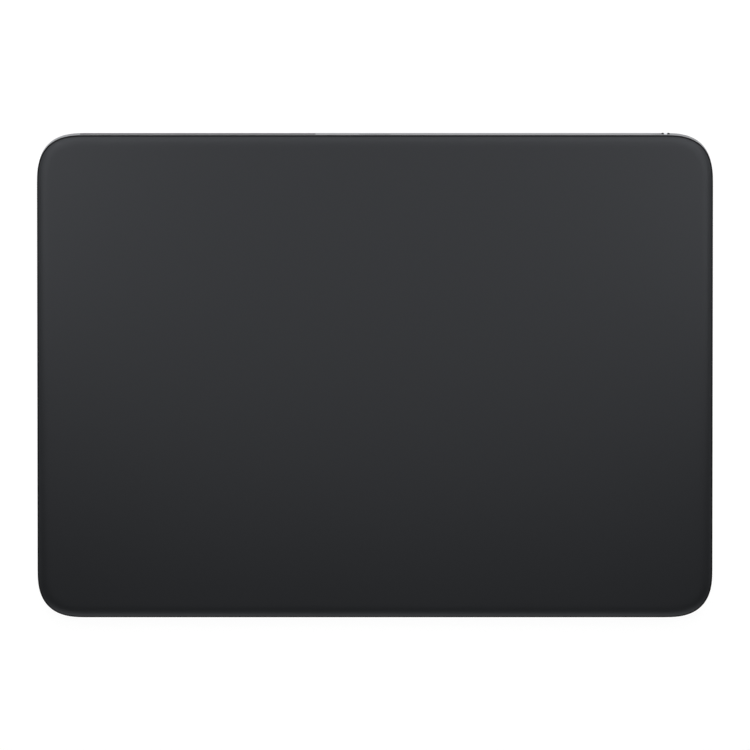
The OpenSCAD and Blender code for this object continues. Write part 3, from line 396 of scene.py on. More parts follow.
# %% Cut the openings
WINDOW_CORNER = 1.0 * MM
WINDOW_FIT = 0.04 * MM     # clearance round the window
CUT_SPARE = 0.01 * MM      # the port and slot are cut wider by this, so that no two cuts share a face
CUT_DEPTH = 0.7 * WALL     # past the middle of the wall, where the CAD tray's own openings go on
DEBURR = 0.04 * MM         # bevel on the edges of the openings


def at_rear(mid_x, mid_z, y):
    """Places on an upright plane, round a middle point."""
    return lambda u, v: Vector((mid_x + u, y, mid_z + v))


def rear_cutter(mid_x, mid_z, size, corner, grow):
    """A prism through the outer half of the rear wall. Its flare at the face bevels the edge it cuts."""
    shape = outline(size[0] + 2 * grow, size[1] + 2 * grow, corner + grow)
    stations = [(0, rear_y - CUT_DEPTH), (0, rear_y - DEBURR), (-DEBURR, rear_y), (-DEBURR, rear_y + WALL)]
    return loft("rear_cutter", shape, stations, lambda y: at_rear(mid_x, mid_z, y))


for cutter in (
    rear_cutter(window_mid.x, window_mid.z, window_size, WINDOW_CORNER, WINDOW_FIT),
    rear_cutter(0, port_z, PORT_MOUTH, PORT_MOUTH[1] / 2, CUT_SPARE),
    rear_cutter(slot_x, switch_z, SWITCH_SLOT, SWITCH_SLOT[1] / 2, CUT_SPARE),
):
    tray_mesh = carved(tray_mesh, cutter)
print("tray:", len(tray_mesh.polygons), "faces after the openings")

# %% Sink the pockets for the feet
FOOT_FIT = 0.05 * MM       # clearance round a foot
FOOT_CUT = 1.0 * MM        # the cutter starts this far under the desk
feet = [n for n in nodes if n.startswith("foot_")]
for name in feet:
    low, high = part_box(name)
    mid, radius = (low + high) / 2, (high.x - low.x) / 2 + FOOT_FIT
    circle = outline(2 * radius, 2 * radius, radius, steps=18)
    cutter = loft("foot_cutter", circle, ((0, -FOOT_CUT), (0, high.z)), lambda z: level(z, mid))
    tray_mesh = carved(tray_mesh, cutter)
print("tray:", len(tray_mesh.polygons), "faces after the feet's pockets")

# %% [markdown]
# ### Painted shade inside the openings
# The tray is blasted with beads before it is anodised. The faces inside the port's mouth and the switch's slot get
# a darker, duller aluminium: painted shade, for the shade in those narrow recesses. They could be pieces of their
# own, but each face of a mesh holds the number of its material, so the faces inside the two openings just get the
# second one.

# %% Mark the milled faces and show the tray
# The faces inside the openings get the darker finish, which is painted shade.
MILLED_PAINTED_SHADE = 1                 # that finish comes second, after the blasted one
smooth(tray_mesh, sharp_degrees=28)
tray_mesh.name = "tray_shell"
for face in tray_mesh.polygons:
    mid = face.center
    for x, z, (width, height) in ((0, port_z, PORT_MOUTH), (slot_x, switch_z, SWITCH_SLOT)):
        beside = abs(mid.x - x) > width / 2 + DEBURR or abs(mid.z - z) > height / 2 + DEBURR
        if rear_y - WALL < mid.y < rear_y - DEBURR and not beside:
            face.material_index = MILLED_PAINTED_SHADE
tray_shell = add_piece("tray_shell", tray_mesh, "tray", "anodised_aluminium", "enclosure")
tray_shell.modifiers.new("keep flats flat", "WEIGHTED_NORMAL").keep_sharp = True
print(sum(face.material_index == MILLED_PAINTED_SHADE for face in tray_mesh.polygons), "milled faces")

# %% [markdown]
# ## The antenna window
# Radio waves don't pass through aluminium, so a plastic strip is let into the rear wall. It fills its opening
# flush, and a flange behind the wall holds it. One loft makes both: the outline steps out where the flange
# starts. A fine bevel round its face draws the joint line that shows on the real part.

# %% Loft the antenna window
WINDOW_BEVEL = 0.05 * MM
window_shape = outline(window_size[0], window_size[1], WINDOW_CORNER, steps=12)
flange_rear = rear_y - WALL
stations = [
    (-WINDOW_FLANGE, window_low.y), (-WINDOW_FLANGE, flange_rear), (0, flange_rear),
    (0, rear_y - WINDOW_BEVEL), (WINDOW_BEVEL, rear_y),
]
window_mesh = loft("radio_window", window_shape, stations, lambda y: at_rear(window_mid.x, window_mid.z, y))
add_piece("radio_window", smooth(window_mesh), "tray", "window_plastic", "antenna_window")

# %% [markdown]
# ## The switch's knob
# The CAD solids of the small parts have the right shape, but their edges are perfectly sharp, and no real edge is.
# A copy gets a narrow bevel, which catches a line of light as a stamped or moulded edge does. The bevel is the
# modifier's: it only has to know which edges turn sharply. On the knob, the photograph shows a dark spot of shade
# on each side of a bright rib, so a pad in dead black stands on either side of it, and its black is painted shade.
# A pad is an end of the knob's own outline, lofted with a bevel round its face.

# %% Bevelled copies and joined meshes
FLAT_DEGREES = 0.5         # faces that turn less than this are one flat face


def eased_copy(node, bevel_mm, segments=2, sharp_degrees=34):
    """A CAD node's shape with its sharp edges eased by a bevel."""
    mesh = welded_copy(node)
    with editing(mesh) as work:
        flat = math.radians(FLAT_DEGREES)
        bmesh.ops.dissolve_limit(work, angle_limit=flat, verts=work.verts, edges=work.edges)
    thing = scratch(mesh)
    bevel = thing.modifiers.new("ease", "BEVEL")
    bevel.width, bevel.segments = bevel_mm * MM, segments
    bevel.limit_method, bevel.angle_limit = "ANGLE", math.radians(sharp_degrees)
    bevel.use_clamp_overlap = True
    return smooth(applied(thing), sharp_degrees)


def joined(name, *meshes):
    """Several closed meshes as one."""
    mesh = bpy.data.meshes.new(name)
    with editing(mesh) as work:
        for one in meshes:
            work.from_mesh(one)
    return mesh


# %% Cap the switch's knob
KNOB = (1.9 * MM, 1.7 * MM)
RIB_W = 1.0 * MM
PAD_PROUD = 0.25 * MM      # how far a pad's face stands out of the wall: just less than the rib
PAD_T = 0.52 * MM
PAD_EDGE = 0.05 * MM       # depth of the bevel round its face
PAD_TAPER = 0.86           # size of its face, as a share of its foot
# The pads' dead black is painted shade beside the rib.
PAINTED_SHADE_BLACK = 1                  # the pads' material comes second, after the rib's metal
pad_face = rear_y + PAD_PROUD
pads = []
for side in (-1, 1):
    half = outline(KNOB[0], KNOB[1], KNOB[1] / 2, steps=12)
    half = [Vector((x, z)) for x, z, _, _ in half if side * x > RIB_W / 2]
    mid = sum(half, Vector((0, 0))) / len(half)
    rings = []
    for scale, y in ((1, pad_face - PAD_T), (1, pad_face - PAD_EDGE), (PAD_TAPER, pad_face)):
        place = at_rear(knob_x, switch_z, y)
        rings.append([place(*(mid + (point - mid) * scale)) for point in half])
    pads.append(smooth(skin("knob_pad", rings, [PAINTED_SHADE_BLACK, PAINTED_SHADE_BLACK])))
knob_mesh = joined("switch_knob", eased_copy("switch_slider", bevel_mm=0.06, segments=3), *pads)
knob = add_piece("switch_knob", knob_mesh, "power_switch", "anodised_aluminium", "switch_slider")

# %% [markdown]
# ## The feet
# Each foot is a moulded disc of rubber with a rounded lower edge, and its sole is dished by a hair, so that
# it grips the desk at its border. A cylinder would show a hard ring there, so the disc is a stack of circles,
# as a lathe would turn it: the dish, the rounded edge and the upright side.

# %% Turn the feet
FOOT_ROUND = 0.3 * MM      # radius of a foot's lower edge
FOOT_DISH = 0.02 * MM      # depth of the dish near the middle, and half of it halfway out
for name in feet:
    low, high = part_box(name)
    mid, radius = (low + high) / 2, (high.x - low.x) / 2
    circle = outline(2 * radius, 2 * radius, radius)
    stations = [(radius * 0.96, low.z + FOOT_DISH), (radius * 0.5, low.z + FOOT_DISH / 2)]
    stations += [(inset, low.z + rise) for inset, rise in rounded(FOOT_ROUND, steps=6)]
    stations.append((0, high.z))
    foot_mesh = loft(name + "_pad", circle, stations, lambda z: level(z, mid))
    add_piece(name + "_pad", smooth(foot_mesh), "tray", "foot_rubber", name)

# %% [markdown]
# ## The seal and the gel pads
# A thin foam seal lies on the tray's rim and keeps crumbs out of the gap under the glass. It is one strip
# with rounded shoulders, swept round the pad's own outline, so it is skinned as a loop of rings. The four gel
# pads carry the plate on its springs. A pad of soft gel that is pressed flat bulges at its sides and keeps
# its corners round, so each is a short stack of rings that swells in the middle.


# %% Sweep the foam seal
def plate_box(node):
    """Lowest and highest corner of a CAD node in the plate's own frame."""
    to_plate = plate_frame.inverted()
    points = [to_plate @ v.co for v in nodes[node].data.vertices]
    return [Vector([pick(p[k] for p in points) for k in range(3)]) for pick in (min, max)]


SEAL_W = 0.7 * MM
SEAL_ROUND = 0.1 * MM      # radius of the seal's shoulders
seal_low, seal_high = plate_box("rim_gasket")
seal_outer = plate_w / 2 - seal_high.x
seal_inner = seal_outer + SEAL_W
shoulder = rounded(SEAL_ROUND, steps=4)
section = [(seal_outer, -seal_low.z), (seal_inner, -seal_low.z)]
section += [(seal_inner - inset, -seal_high.z + drop) for drop, inset in shoulder]
section += [(seal_outer + inset, -seal_high.z + drop) for drop, inset in reversed(shoulder)]
seal_mesh = smooth(loft("foam_seal", pad_outline, section, on_plate, looped=True))
seal = add_piece("foam_seal", seal_mesh, "tray", "gasket_foam", "rim_gasket")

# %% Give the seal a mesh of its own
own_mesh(seal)

# %% Swell the gel pads
GEL_CORNER = 1.0 * MM
GEL_SWELL = 0.18 * MM      # how far the sides bulge
GEL_STEPS = 8
for name in [n for n in nodes if n.startswith("gel_pad_")]:
    low, high = plate_box(name)
    mid = (low + high) / 2
    shape = outline(high.x - low.x, high.y - low.y, GEL_CORNER, steps=8)
    stations = []
    for k in range(GEL_STEPS + 1):
        t = k / GEL_STEPS
        stations.append((GEL_SWELL * (2 * t - 1) ** 2, low.z + (high.z - low.z) * t))
    pad_mesh = loft(name + "_soft", shape, stations, lambda z: on_plate(-z, mid))
    pad = add_piece(name + "_soft", smooth(pad_mesh), None, "gel", name)
    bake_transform(pad)

# %% [markdown]
# ## Springs, gauges and a film that bend
# Four steel leaves carry the plate. Each is screwed to the tray at its outer end, and its inner end goes down
# with the plate, so it bends, and the gauge glued to its neck feels how far. A mesh bends only where it has
# points, so the leaves and gauges are sliced across. The film that joins the plate to the logic board bends
# in its loop.


# %% Slicing helpers
def sliced(mesh, first_x, last_x, count=12):
    """Slices a mesh across X at even steps, so that it can bend there."""
    with editing(mesh) as work:
        for k in range(count + 1):
            x = first_x + (last_x - first_x) * k / count
            everything = work.verts[:] + work.edges[:] + work.faces[:]
            bmesh.ops.bisect_plane(work, geom=everything, plane_co=(x, 0, 0), plane_no=across, dist=WELD)
    return mesh


def only_within(mesh, low, high):
    """Keeps the part of a mesh that lies between two corners in plan."""
    with editing(mesh) as work:
        outside = [v for v in work.verts if not (low.x <= v.co.x <= high.x and low.y <= v.co.y <= high.y)]
        bmesh.ops.delete(work, geom=outside, context="VERTS")
    return mesh


# %% Slice the spring leaves and their gauges
CLAMP_LEN = 6.0 * MM       # a leaf's screwed end
FREE_LEN = 4.4 * MM        # its free end, under the gel pad
for name in [n for n in nodes if n.startswith("flexure_") and n != "flexure_screws"]:
    low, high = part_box(name)
    side = math.copysign(1, low.x)
    outer, inner = (high.x, low.x) if side > 0 else (low.x, high.x)
    held, free = outer - side * CLAMP_LEN, inner + side * FREE_LEN
    leaf_mesh = smooth(sliced(eased_copy(name, bevel_mm=0.03), held, free))
    gauge_mesh = smooth(sliced(only_within(welded_copy("strain_gauges"), low, high), held, free))
    leaf = add_piece(name + "_leaf", leaf_mesh, None, "spring_steel", name)
    gauge = add_piece(name.replace("flexure", "gauge"), gauge_mesh, None, "flex_circuit", "strain_gauges")
    for piece in (leaf, gauge):
        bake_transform(piece)

# %% Copy the plate's film
film = add_piece("touch_film", smooth(welded_copy("touch_flex")), None, "flex_circuit", "touch_flex")
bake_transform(film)

# %% [markdown]
# ## The battery pouch
# The cell is a foil pouch: its faces are a little crowned, its edges soft, and a flat tab of foil at one end
# carries the protection board. A box with a bevel would have dead flat faces, which foil never has, so the
# pouch is a stack of rings that rounds its edge first and then rises slowly to the middle of each face.

# %% Crown the battery pouch
POUCH_CORNER = 2.5 * MM
POUCH_EDGE = 1.1 * MM      # radius of the pouch's soft edges
POUCH_CROWN = 0.12 * MM    # how much higher the middle of a face is than its border
CROWN_INSETS = [inset_mm * MM for inset_mm in (2, 4, 7, 11, 15)]
cell_low, cell_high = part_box("battery_cell")
cell_mid_y, cell_mid_z = (cell_low.y + cell_high.y) / 2, (cell_low.z + cell_high.z) / 2
pouch_w, pouch_d, pouch_t = -2 * cell_low.x, cell_high.y - cell_low.y, cell_high.z - cell_low.z
pouch_outline = outline(pouch_w, pouch_d, POUCH_CORNER, steps=12)
half_t = pouch_t / 2 - POUCH_CROWN
stations = [(inset, half_t - drop) for drop, inset in rounded(POUCH_EDGE, steps=6)]
for inset in CROWN_INSETS:
    t = (inset - POUCH_EDGE) / (CROWN_INSETS[-1] - POUCH_EDGE)
    stations.append((inset, half_t + POUCH_CROWN * math.sin(math.pi / 2 * t)))


def pouch_ring(inset, z):
    """The pouch narrows by the inset towards its middle line, whatever its corners do."""
    fx, fy = 1 - 2 * inset / pouch_w, 1 - 2 * inset / pouch_d
    return [Vector((x * fx, cell_mid_y + y * fy, cell_mid_z + z)) for x, y, _, _ in pouch_outline]


pouch_rings = [pouch_ring(inset, -z) for inset, z in reversed(stations)]
pouch_rings += [pouch_ring(inset, z) for inset, z in stations]
print(f"pouch {pouch_w / MM:.1f} x {pouch_d / MM:.1f} x {pouch_t / MM:.1f} mm")

# %% Add the pouch's tab
TAB_T = 0.3 * MM
TAB_DEPTH = 20 * MM
TAB_CORNER = 0.6 * MM
TAB_BEVEL = 0.06 * MM
tab_start = pouch_w / 2 - POUCH_CORNER
tab_mid = Vector(((tab_start + cell_high.x) / 2, cell_mid_y, 0))
tab_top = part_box("battery_protection_board")[0].z
tab_low = tab_top - TAB_T
tab_shape = outline(cell_high.x - tab_start, TAB_DEPTH, TAB_CORNER, steps=6)
stations = [(TAB_BEVEL, tab_low), (0, tab_low + TAB_BEVEL), (0, tab_top - TAB_BEVEL), (TAB_BEVEL, tab_top)]
tab_mesh = loft("pouch_tab", tab_shape, stations, lambda z: level(z, tab_mid))
pouch_mesh = joined("battery_pouch", skin("pouch_body", pouch_rings), tab_mesh)
add_piece("battery_pouch", smooth(pouch_mesh), "tray", "battery_foil", "battery_cell")

# %% [markdown]
# ## The winding
# The coil of the haptic motor is copper wire, so its outer layer is wound as wire: one tube that runs round a
# rounded rectangle and moves on by its own thickness each turn. A striped block would look flat at its edges.
# The layers under it don't show, and stay a plain sleeve.

# %% Wind the coil's wire
WIRE = 0.44 * MM           # wire thickness
WIRE_SIDES = 8
COIL_ROUND = 0.5 * MM
coil_low, coil_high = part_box("haptic_coil")
coil_mid = (coil_low + coil_high) / 2
coil_size = (coil_high.y - coil_low.y, coil_high.z - coil_low.z)
turns = int((coil_high.x - coil_low.x - WIRE) / WIRE)
pitch = (coil_high.x - coil_low.x - WIRE) / turns
lap = outline(coil_size[0] - WIRE, coil_size[1] - WIRE, COIL_ROUND, steps=5)
wire_rings = []
for k in range(turns * len(lap) + 1):
    y, z, ny, nz = lap[k % len(lap)]
    x = coil_low.x + WIRE / 2 + pitch * k / len(lap)
    centre = Vector((x, coil_mid.y + y, coil_mid.z + z))
    outward = Vector((0, ny, nz))
    wire_rings.append([
        centre + WIRE / 2 * (math.cos(a) * outward + math.sin(a) * across)
        for a in (2 * math.pi * j / WIRE_SIDES for j in range(WIRE_SIDES))
    ])
print(turns, "turns of wire")

# %% Put the sleeve under the wire
BORE = (5.2 * MM, 1.4 * MM)
BORE_ROUND = 0.15 * MM
SLEEVE_INSET = 0.1 * MM    # the sleeve ends this far inside the winding
UNDER_WIRE = 1.8 * WIRE    # and is smaller by this, so that it lies just inside the wire
sleeve_shape = outline(coil_size[0] - UNDER_WIRE, coil_size[1] - UNDER_WIRE, COIL_ROUND / 2, steps=5)
bore_shape = outline(BORE[0], BORE[1], BORE_ROUND, steps=5)
first_x, last_x = coil_low.x + SLEEVE_INSET, coil_high.x - SLEEVE_INSET
stations = ((bore_shape, first_x), (sleeve_shape, first_x), (sleeve_shape, last_x), (bore_shape, last_x))
sleeve_rings = [
    ring(shape, 0, lambda y, z, x=x: Vector((x, coil_mid.y + y, coil_mid.z + z))) for shape, x in stations
]
coil_mesh = joined("wound_coil", skin("wire", wire_rings), skin("sleeve", sleeve_rings, looped=True))
add_piece("wound_coil", smooth(coil_mesh, sharp_degrees=50), "tray", "copper", "haptic_coil")

# %% [markdown]
# ## The port's inside
# A steel shell, a black insulator and gold contacts can be seen through the port's mouth. Their shapes are
# the CAD's, so they needn't be built again. Each only gets the bevel that its tool leaves: the moulded
# insulator the widest, the thin contacts the narrowest.

# %% Ease the parts that show in the port's mouth
slot_of = {part["node"]: part["material_slot"] for part in record["subparts"]}
for node, bevel_mm in (("port_shell", 0.06), ("port_insulator", 0.08), ("port_contacts", 0.03)):
    add_piece(node + "_eased", eased_copy(node, bevel_mm), "tray", slot_of[node], node)

# %% [markdown]
# ## Finishes
# Each finish starts from what the real material is and how its surface was made. Colours are written as sRGB
# hex values, as a colour picker gives them, and one function turns them to the linear values that Blender
# mixes light in. Patterns are sized in millimetres. One helper adds a node, sets it and links it. A picture
# of each surface could be wrapped round instead, but a node pattern has no seam and stays sharp from near.


# %% Colour, scale and node helpers
def linear(hex_colour):
    """sRGB hex to linear RGBA."""
    parts = [int(hex_colour[k:k + 2], 16) / 255 for k in (1, 3, 5)]
    return (*[c / 12.92 if c <= 0.04045 else ((c + 0.055) / 1.055) ** 2.4 for c in parts], 1.0)


def per_mm(size):
    """Texture scale that makes a pattern's features about this many millimetres wide."""
    return 1 / (size * MM)


def add(tree, kind, values=None, links=None, **settings):
    """Adds a shader node, with its settings, socket values and links. A link comes from a socket, or from the
    first output of a node."""
    node = tree.nodes.new("ShaderNode" + kind)
    for key, value in settings.items():
        setattr(node, key, value)
    for key, value in (values or {}).items():
        node.inputs[key].default_value = value
    for key, source in (links or {}).items():
        socket = source.outputs[0] if isinstance(source, bpy.types.Node) else source
        tree.links.new(socket, node.inputs[key])
    return node


print("middle grey, #808080, is", round(linear("#808080")[0], 3), "in linear light")


# %% Begin and end a finish
def new_material(name):
    """A material with an empty node tree."""
    material = bpy.data.materials.new(name)
    material.use_nodes = True
    material.node_tree.nodes.clear()
    return material, material.node_tree


def begin_finish(name):
    """A new material, its tree and the object's own coordinates."""
    material, tree = new_material(name)
    return material, tree, add(tree, "TexCoord").outputs["Object"]


def end_finish(material, tone, rough, relief=None, **sockets):
    """Joins tone, roughness and relief in one shader, sets its other sockets and ends the material."""
    tree = material.node_tree
    values = {key.replace("_", " "): value for key, value in sockets.items()}
    links = {"Base Color": tone, "Roughness": rough}
    if relief:
        links["Normal"] = relief
    add(tree, "OutputMaterial", links={"Surface": add(tree, "BsdfPrincipled", values, links)})
    print(f"{material.name}: {len(tree.nodes)} nodes")
    return material


# %% [markdown]
# ### Etched and ground glass
# The touch face is acid-etched glass with black ink printed behind it. Etching leaves pits of some hundredths
# of a millimetre, so a finger slides and reflections blur into a soft sheen. The ink behind gives the colour.
# The side of the plate is ground and sealed with black ink: duller than the face, with little shine. Clear
# glass over a layer of ink would be slow to render, so one dark material with the shine of glass stands in.

# %% Etched glass
satin_glass, tree, where = begin_finish("etched_glass_over_black_ink")
# Pits of about 0.02 mm are too fine for the picture, so they are drawn at 0.12 mm.
pits = add(tree, "TexNoise", {"Scale": per_mm(0.12), "Detail": 2.0}, {"Vector": where})
cloud = add(tree, "TexNoise", {"Scale": per_mm(40), "Detail": 1.0}, {"Vector": where})
rough = add(tree, "MapRange", {"To Min": 0.43, "To Max": 0.47}, {"Value": cloud})
relief = add(tree, "Bump", {"Strength": 0.12, "Distance": 0.002 * MM}, {"Height": pits})
tone = add(tree, "MixRGB", {"Color1": linear("#090a0b"), "Color2": linear("#0a0b0d")}, {"Fac": cloud})
end_finish(satin_glass, tone, rough, relief, IOR=1.51, Specular_Tint=linear("#f3f7ff"))

# %% Ground glass edge
ground_edge, tree, where = begin_finish("ground_inked_glass_edge")
# The wheel's grit leaves marks of some hundredths of a millimetre, drawn coarser so that they show.
grit = add(tree, "TexNoise", {"Scale": per_mm(0.15), "Detail": 3.0}, {"Vector": where})
rough = add(tree, "MapRange", {"To Min": 0.6, "To Max": 0.75}, {"Value": grit})
tone = add(tree, "MixRGB", {"Color1": linear("#060607"), "Color2": linear("#0a0a0b")}, {"Fac": grit})
end_finish(ground_edge, tone, rough, IOR=1.51, Specular_IOR_Level=0.12)
glass.data.materials.append(satin_glass)
glass.data.materials.append(ground_edge)

# %% [markdown]
# ### Anodised aluminium
# The tray is blasted with fine beads and then clear anodised, which leaves a grain of about 0.1 mm that
# scatters light evenly, and a faint mottle. An even roughness would look like grey paint from near, so a
# noise breaks it up. The oxide dims what the metal mirrors at a grazing angle: the specular tint gives that.

# %% Anodised aluminium
GRAIN_RANGE = {"From Min": 0.1, "From Max": 0.45}    # what a fine noise times a coarse one ranges over
anodised, tree, where = begin_finish("bead_blasted_anodised_aluminium")
# The grain is drawn at 0.2 mm, so that it shows in a close view.
beads = add(tree, "TexNoise", {"Scale": per_mm(0.2), "Detail": 2.0, "Roughness": 0.6}, {"Vector": where})
mottle = add(tree, "TexNoise", {"Scale": per_mm(9), "Detail": 2.0}, {"Vector": where})
both = add(tree, "Math", {}, {0: beads, 1: mottle}, operation="MULTIPLY")
spread = add(tree, "MapRange", GRAIN_RANGE, {"Value": both})
tone = add(tree, "MixRGB", {"Color1": linear("#b4b5b8"), "Color2": linear("#bebfc2")}, {"Fac": spread})
rough = add(tree, "MapRange", {"To Min": 0.44, "To Max": 0.6}, {"Value": beads})
relief = add(tree, "Bump", {"Strength": 0.8, "Distance": 0.03 * MM}, {"Height": beads})
end_finish(anodised, tone, rough, relief, Metallic=1.0, Specular_Tint=linear("#8d8d8f"))

# %% [markdown]
# ### Moulded, rolled and plated finishes
# Most of the other finishes are one even material with a fine grain and a faint change of tone: moulded
# plastics and rubber, rolled or stamped steel, plated and printed metal. One function makes them, from two
# tones, the size of the grain and of the mottle, and how rough and how metallic the surface is. Real grains
# of some hundredths of a millimetre are drawn about 0.1 mm wide, so that they show in a close view.


# %% A grained finish
def grained(name, dark, light, grain_mm, relief_mm, roughness, mottle_mm=5.0, stretch=(1, 1, 1), **sockets):
    """A finish with two tones, a fine grain and a relief. stretch draws the grain out along an axis."""
    material, tree, where = begin_finish(name)
    drawn = add(tree, "Mapping", {"Scale": stretch}, {"Vector": where})
    grain = add(tree, "TexNoise", {"Scale": per_mm(grain_mm), "Detail": 3.0}, {"Vector": drawn})
    mottle = add(tree, "TexNoise", {"Scale": per_mm(mottle_mm), "Detail": 2.0}, {"Vector": where})
    both = add(tree, "Math", {}, {0: grain, 1: mottle}, operation="MULTIPLY")
    spread = add(tree, "MapRange", GRAIN_RANGE, {"Value": both})
    tone = add(tree, "MixRGB", {"Color1": linear(dark), "Color2": linear(light)}, {"Fac": spread})
    rough = add(tree, "MapRange", {"To Min": roughness - 0.06, "To Max": roughness + 0.06}, {"Value": grain})
    relief = add(tree, "Bump", {"Strength": 0.4, "Distance": relief_mm * MM}, {"Height": grain})
    return end_finish(material, tone, rough, relief, **sockets)


# %% Plastics, rubbers and foil
finishes = {
    "satin_glass": satin_glass,
    "anodised_aluminium": anodised,
    # Polycarbonate in a matt grey paint, toned to the aluminium but without its shine.
    "window_plastic": grained("painted_polycarbonate", "#606063", "#68686b", 0.12, 0.006, 0.78, IOR=1.58,
                              Specular_IOR_Level=0.25),
    # Moulded silicone rubber, matt from the mould's spark-eroded face.
    "foot_rubber": grained("moulded_silicone_rubber", "#a9a9ab", "#b7b7b9", 0.2, 0.02, 0.72, IOR=1.41),
    # Die-cut polyurethane foam: open cells of 0.1 to 0.2 mm swallow the light.
    "gasket_foam": grained("cut_black_foam", "#0d0d0d", "#1b1b1c", 0.18, 0.05, 0.9, IOR=1.45),
    # Cast silicone gel, faintly blue and tacky, with a wet shine.
    "gel": grained("cast_silicone_gel", "#7b8794", "#8f9aa6", 0.5, 0.01, 0.3, IOR=1.41),
    # Transfer-moulded epoxy with silica filler, matt from the mould.
    "chip_resin": grained("moulded_epoxy", "#1a1a1c", "#26262a", 0.08, 0.006, 0.6, IOR=1.55),
    # Liquid-crystal polymer, glass filled: cream from the mould, with a soft shine.
    "connector_resin": grained("glass_filled_polymer", "#c9c2ae", "#d8d2c0", 0.1, 0.008, 0.5, IOR=1.6),
    # Black nylon, glass filled: fibres at its surface break up the shine.
    "switch_resin": grained("black_glass_filled_nylon", "#141414", "#222223", 0.1, 0.008, 0.48, IOR=1.53),
    # Green acetal, smooth and shiny from a polished mould.
    "indicator_plastic": grained("green_acetal", "#2fae55", "#3cc066", 0.1, 0.003, 0.28, IOR=1.48),
    # Laminated aluminium pouch foil, dull, with fine wrinkles.
    "battery_foil": grained("pouch_foil", "#34353a", "#43444a", 0.8, 0.03, 0.42, mottle_mm=12, Metallic=0.4),
    # Stretch-release acrylic tape, coated in a film: milky, with a dull shine.
    "adhesive": grained("acrylic_tape", "#d8d8d6", "#e6e6e4", 0.3, 0.01, 0.45, IOR=1.47),
}
# Dead matt black with almost no shine, for the knob's pads: painted shade, standing in for the dark spots of shade
# beside the rib.
painted_shade_black = grained("black_painted_shade_pads", "#080808", "#101010", 0.1, 0.01, 0.9, IOR=1.5,
                     Specular_IOR_Level=0.02)

# %% Metals
finishes |= {
    # Stamped stainless sheet: rolling lines run along X and draw out the shine.
    "stamped_steel": grained("stamped_stainless_steel", "#a9aaad", "#bfc0c3", 0.12, 0.004, 0.34,
                             stretch=(0.04, 1, 1), Metallic=1.0),
    # Cold-rolled spring strip, harder, brighter and bluer than plain stainless.
    "spring_steel": grained("cold_rolled_spring_steel", "#8f949c", "#a7acb4", 0.1, 0.003, 0.28,
                            stretch=(0.03, 1, 1), Metallic=1.0),
    # Cold-headed steel with a dark nickel plate: a smoky, even shine.
    "screw_steel": grained("dark_nickel_plated_steel", "#6f7074", "#85868a", 0.1, 0.003, 0.36, Metallic=1.0),
    # Electroplated gold over nickel: a warm, clear shine.
    "gold_plate": grained("gold_plate", "#d6b25a", "#e6c672", 0.1, 0.002, 0.24, Metallic=1.0),
}
# Milled aluminium with fine tool marks, for the faces inside the port's mouth and the switch's slot. Its tone,
# darker than the even grain outside, is painted shade.
milled = grained("milled_aluminium_painted_shade", "#85868a", "#8f9094", 0.1, 0.004, 0.5, stretch=(1, 0.1, 1),
                 Metallic=1.0)
# The knob is a smoother aluminium than the blasted tray, and its lighter tone is a painted highlight on its rib.
painted_highlight_metal = grained("aluminium_with_painted_highlight", "#d6d7da", "#e0e1e4", 0.1, 0.002, 0.32, Metallic=1.0)
print(len(finishes), "finishes so far")

# %% [markdown]
# ### Printed circuits, windings and laminations
# These have a pattern with a direction: tracks on the boards, copper lines along the flexes, lines along the
# coil's wire and sheets in the core. Modelled, they would be thousands of faces. Wave and brick textures draw
# them with a few nodes.

# %% Circuit board
# Glass laminate under green solder mask, printed on and cured to a soft gloss. Tracks of 0.15 mm show through
# it as a slightly lighter green.
board, tree, where = begin_finish("solder_mask_on_laminate")
tone = add(
    tree, "TexBrick",
    {"Color1": linear("#0f4a30"), "Color2": linear("#12573a"), "Mortar": linear("#1b6d49"),
     "Scale": per_mm(1), "Brick Width": 2.6, "Row Height": 0.6, "Mortar Size": 0.08},
    {"Vector": where},
)
weave = add(tree, "TexNoise", {"Scale": per_mm(0.4), "Detail": 2.0}, {"Vector": where})
rough = add(tree, "MapRange", {"To Min": 0.3, "To Max": 0.42}, {"Value": weave})
relief = add(tree, "Bump", {"Strength": 0.3, "Distance": 0.02 * MM}, {"Height": tone.outputs["Fac"]})
finishes["circuit_board"] = end_finish(board, tone, rough, relief, IOR=1.5)


# %% Ruled finishes: flexes, winding and laminations
def ruled(name, between, line, pitch_mm, axis, relief_mm, roughness, **sockets):
    """A finish ruled with even lines across an axis: tracks, lines on wire or stacked sheets."""
    material, tree, where = begin_finish(name)
    # A wave texture makes one line in every 2 pi / 20 of its scaled length.
    waves = {"Scale": math.pi / 10 * per_mm(pitch_mm), "Distortion": 0.0}
    wave = add(tree, "TexWave", waves, {"Vector": where}, bands_direction=axis, wave_profile="SIN")
    lines = wave.outputs["Fac"]
    blotch = add(tree, "TexNoise", {"Scale": per_mm(1.5), "Detail": 2.0}, {"Vector": where})
    tone = add(tree, "MixRGB", {"Color1": linear(between), "Color2": linear(line)}, {"Fac": lines})
    rough = add(tree, "MapRange", {"To Min": roughness - 0.05, "To Max": roughness + 0.08}, {"Value": blotch})
    relief = add(tree, "Bump", {"Strength": 0.5, "Distance": relief_mm * MM}, {"Height": lines})
    return end_finish(material, tone, rough, relief, **sockets)


finishes |= {
    # Amber polyimide film laminated over copper tracks, which shine through as lighter lines.
    "flex_circuit": ruled("polyimide_film_over_copper", "#8a4b14", "#b5702a", 0.4, "X", 0.01, 0.34, IOR=1.7),
    # Enamelled copper: a red-brown shine, with its drawing die's lines, drawn coarser so that they show.
    "copper": ruled("enamelled_copper", "#8a3f22", "#c9774a", 0.3, "X", 0.06, 0.32, Metallic=1.0),
    # Silicon-iron sheets of 0.2 mm, stamped and stacked: a dull grey, lined by the dark oxide between them.
    "core_iron": ruled("laminated_silicon_iron", "#3c3d40", "#63656a", 0.2, "Z", 0.02, 0.42, Metallic=1.0),
}

# %% [markdown]
# ## Dressing the pieces
# The record says which finish each CAD node has, so one loop gives every node its material, and the new
# pieces take theirs from the slot that they name. The knob and the tray have two finishes each.

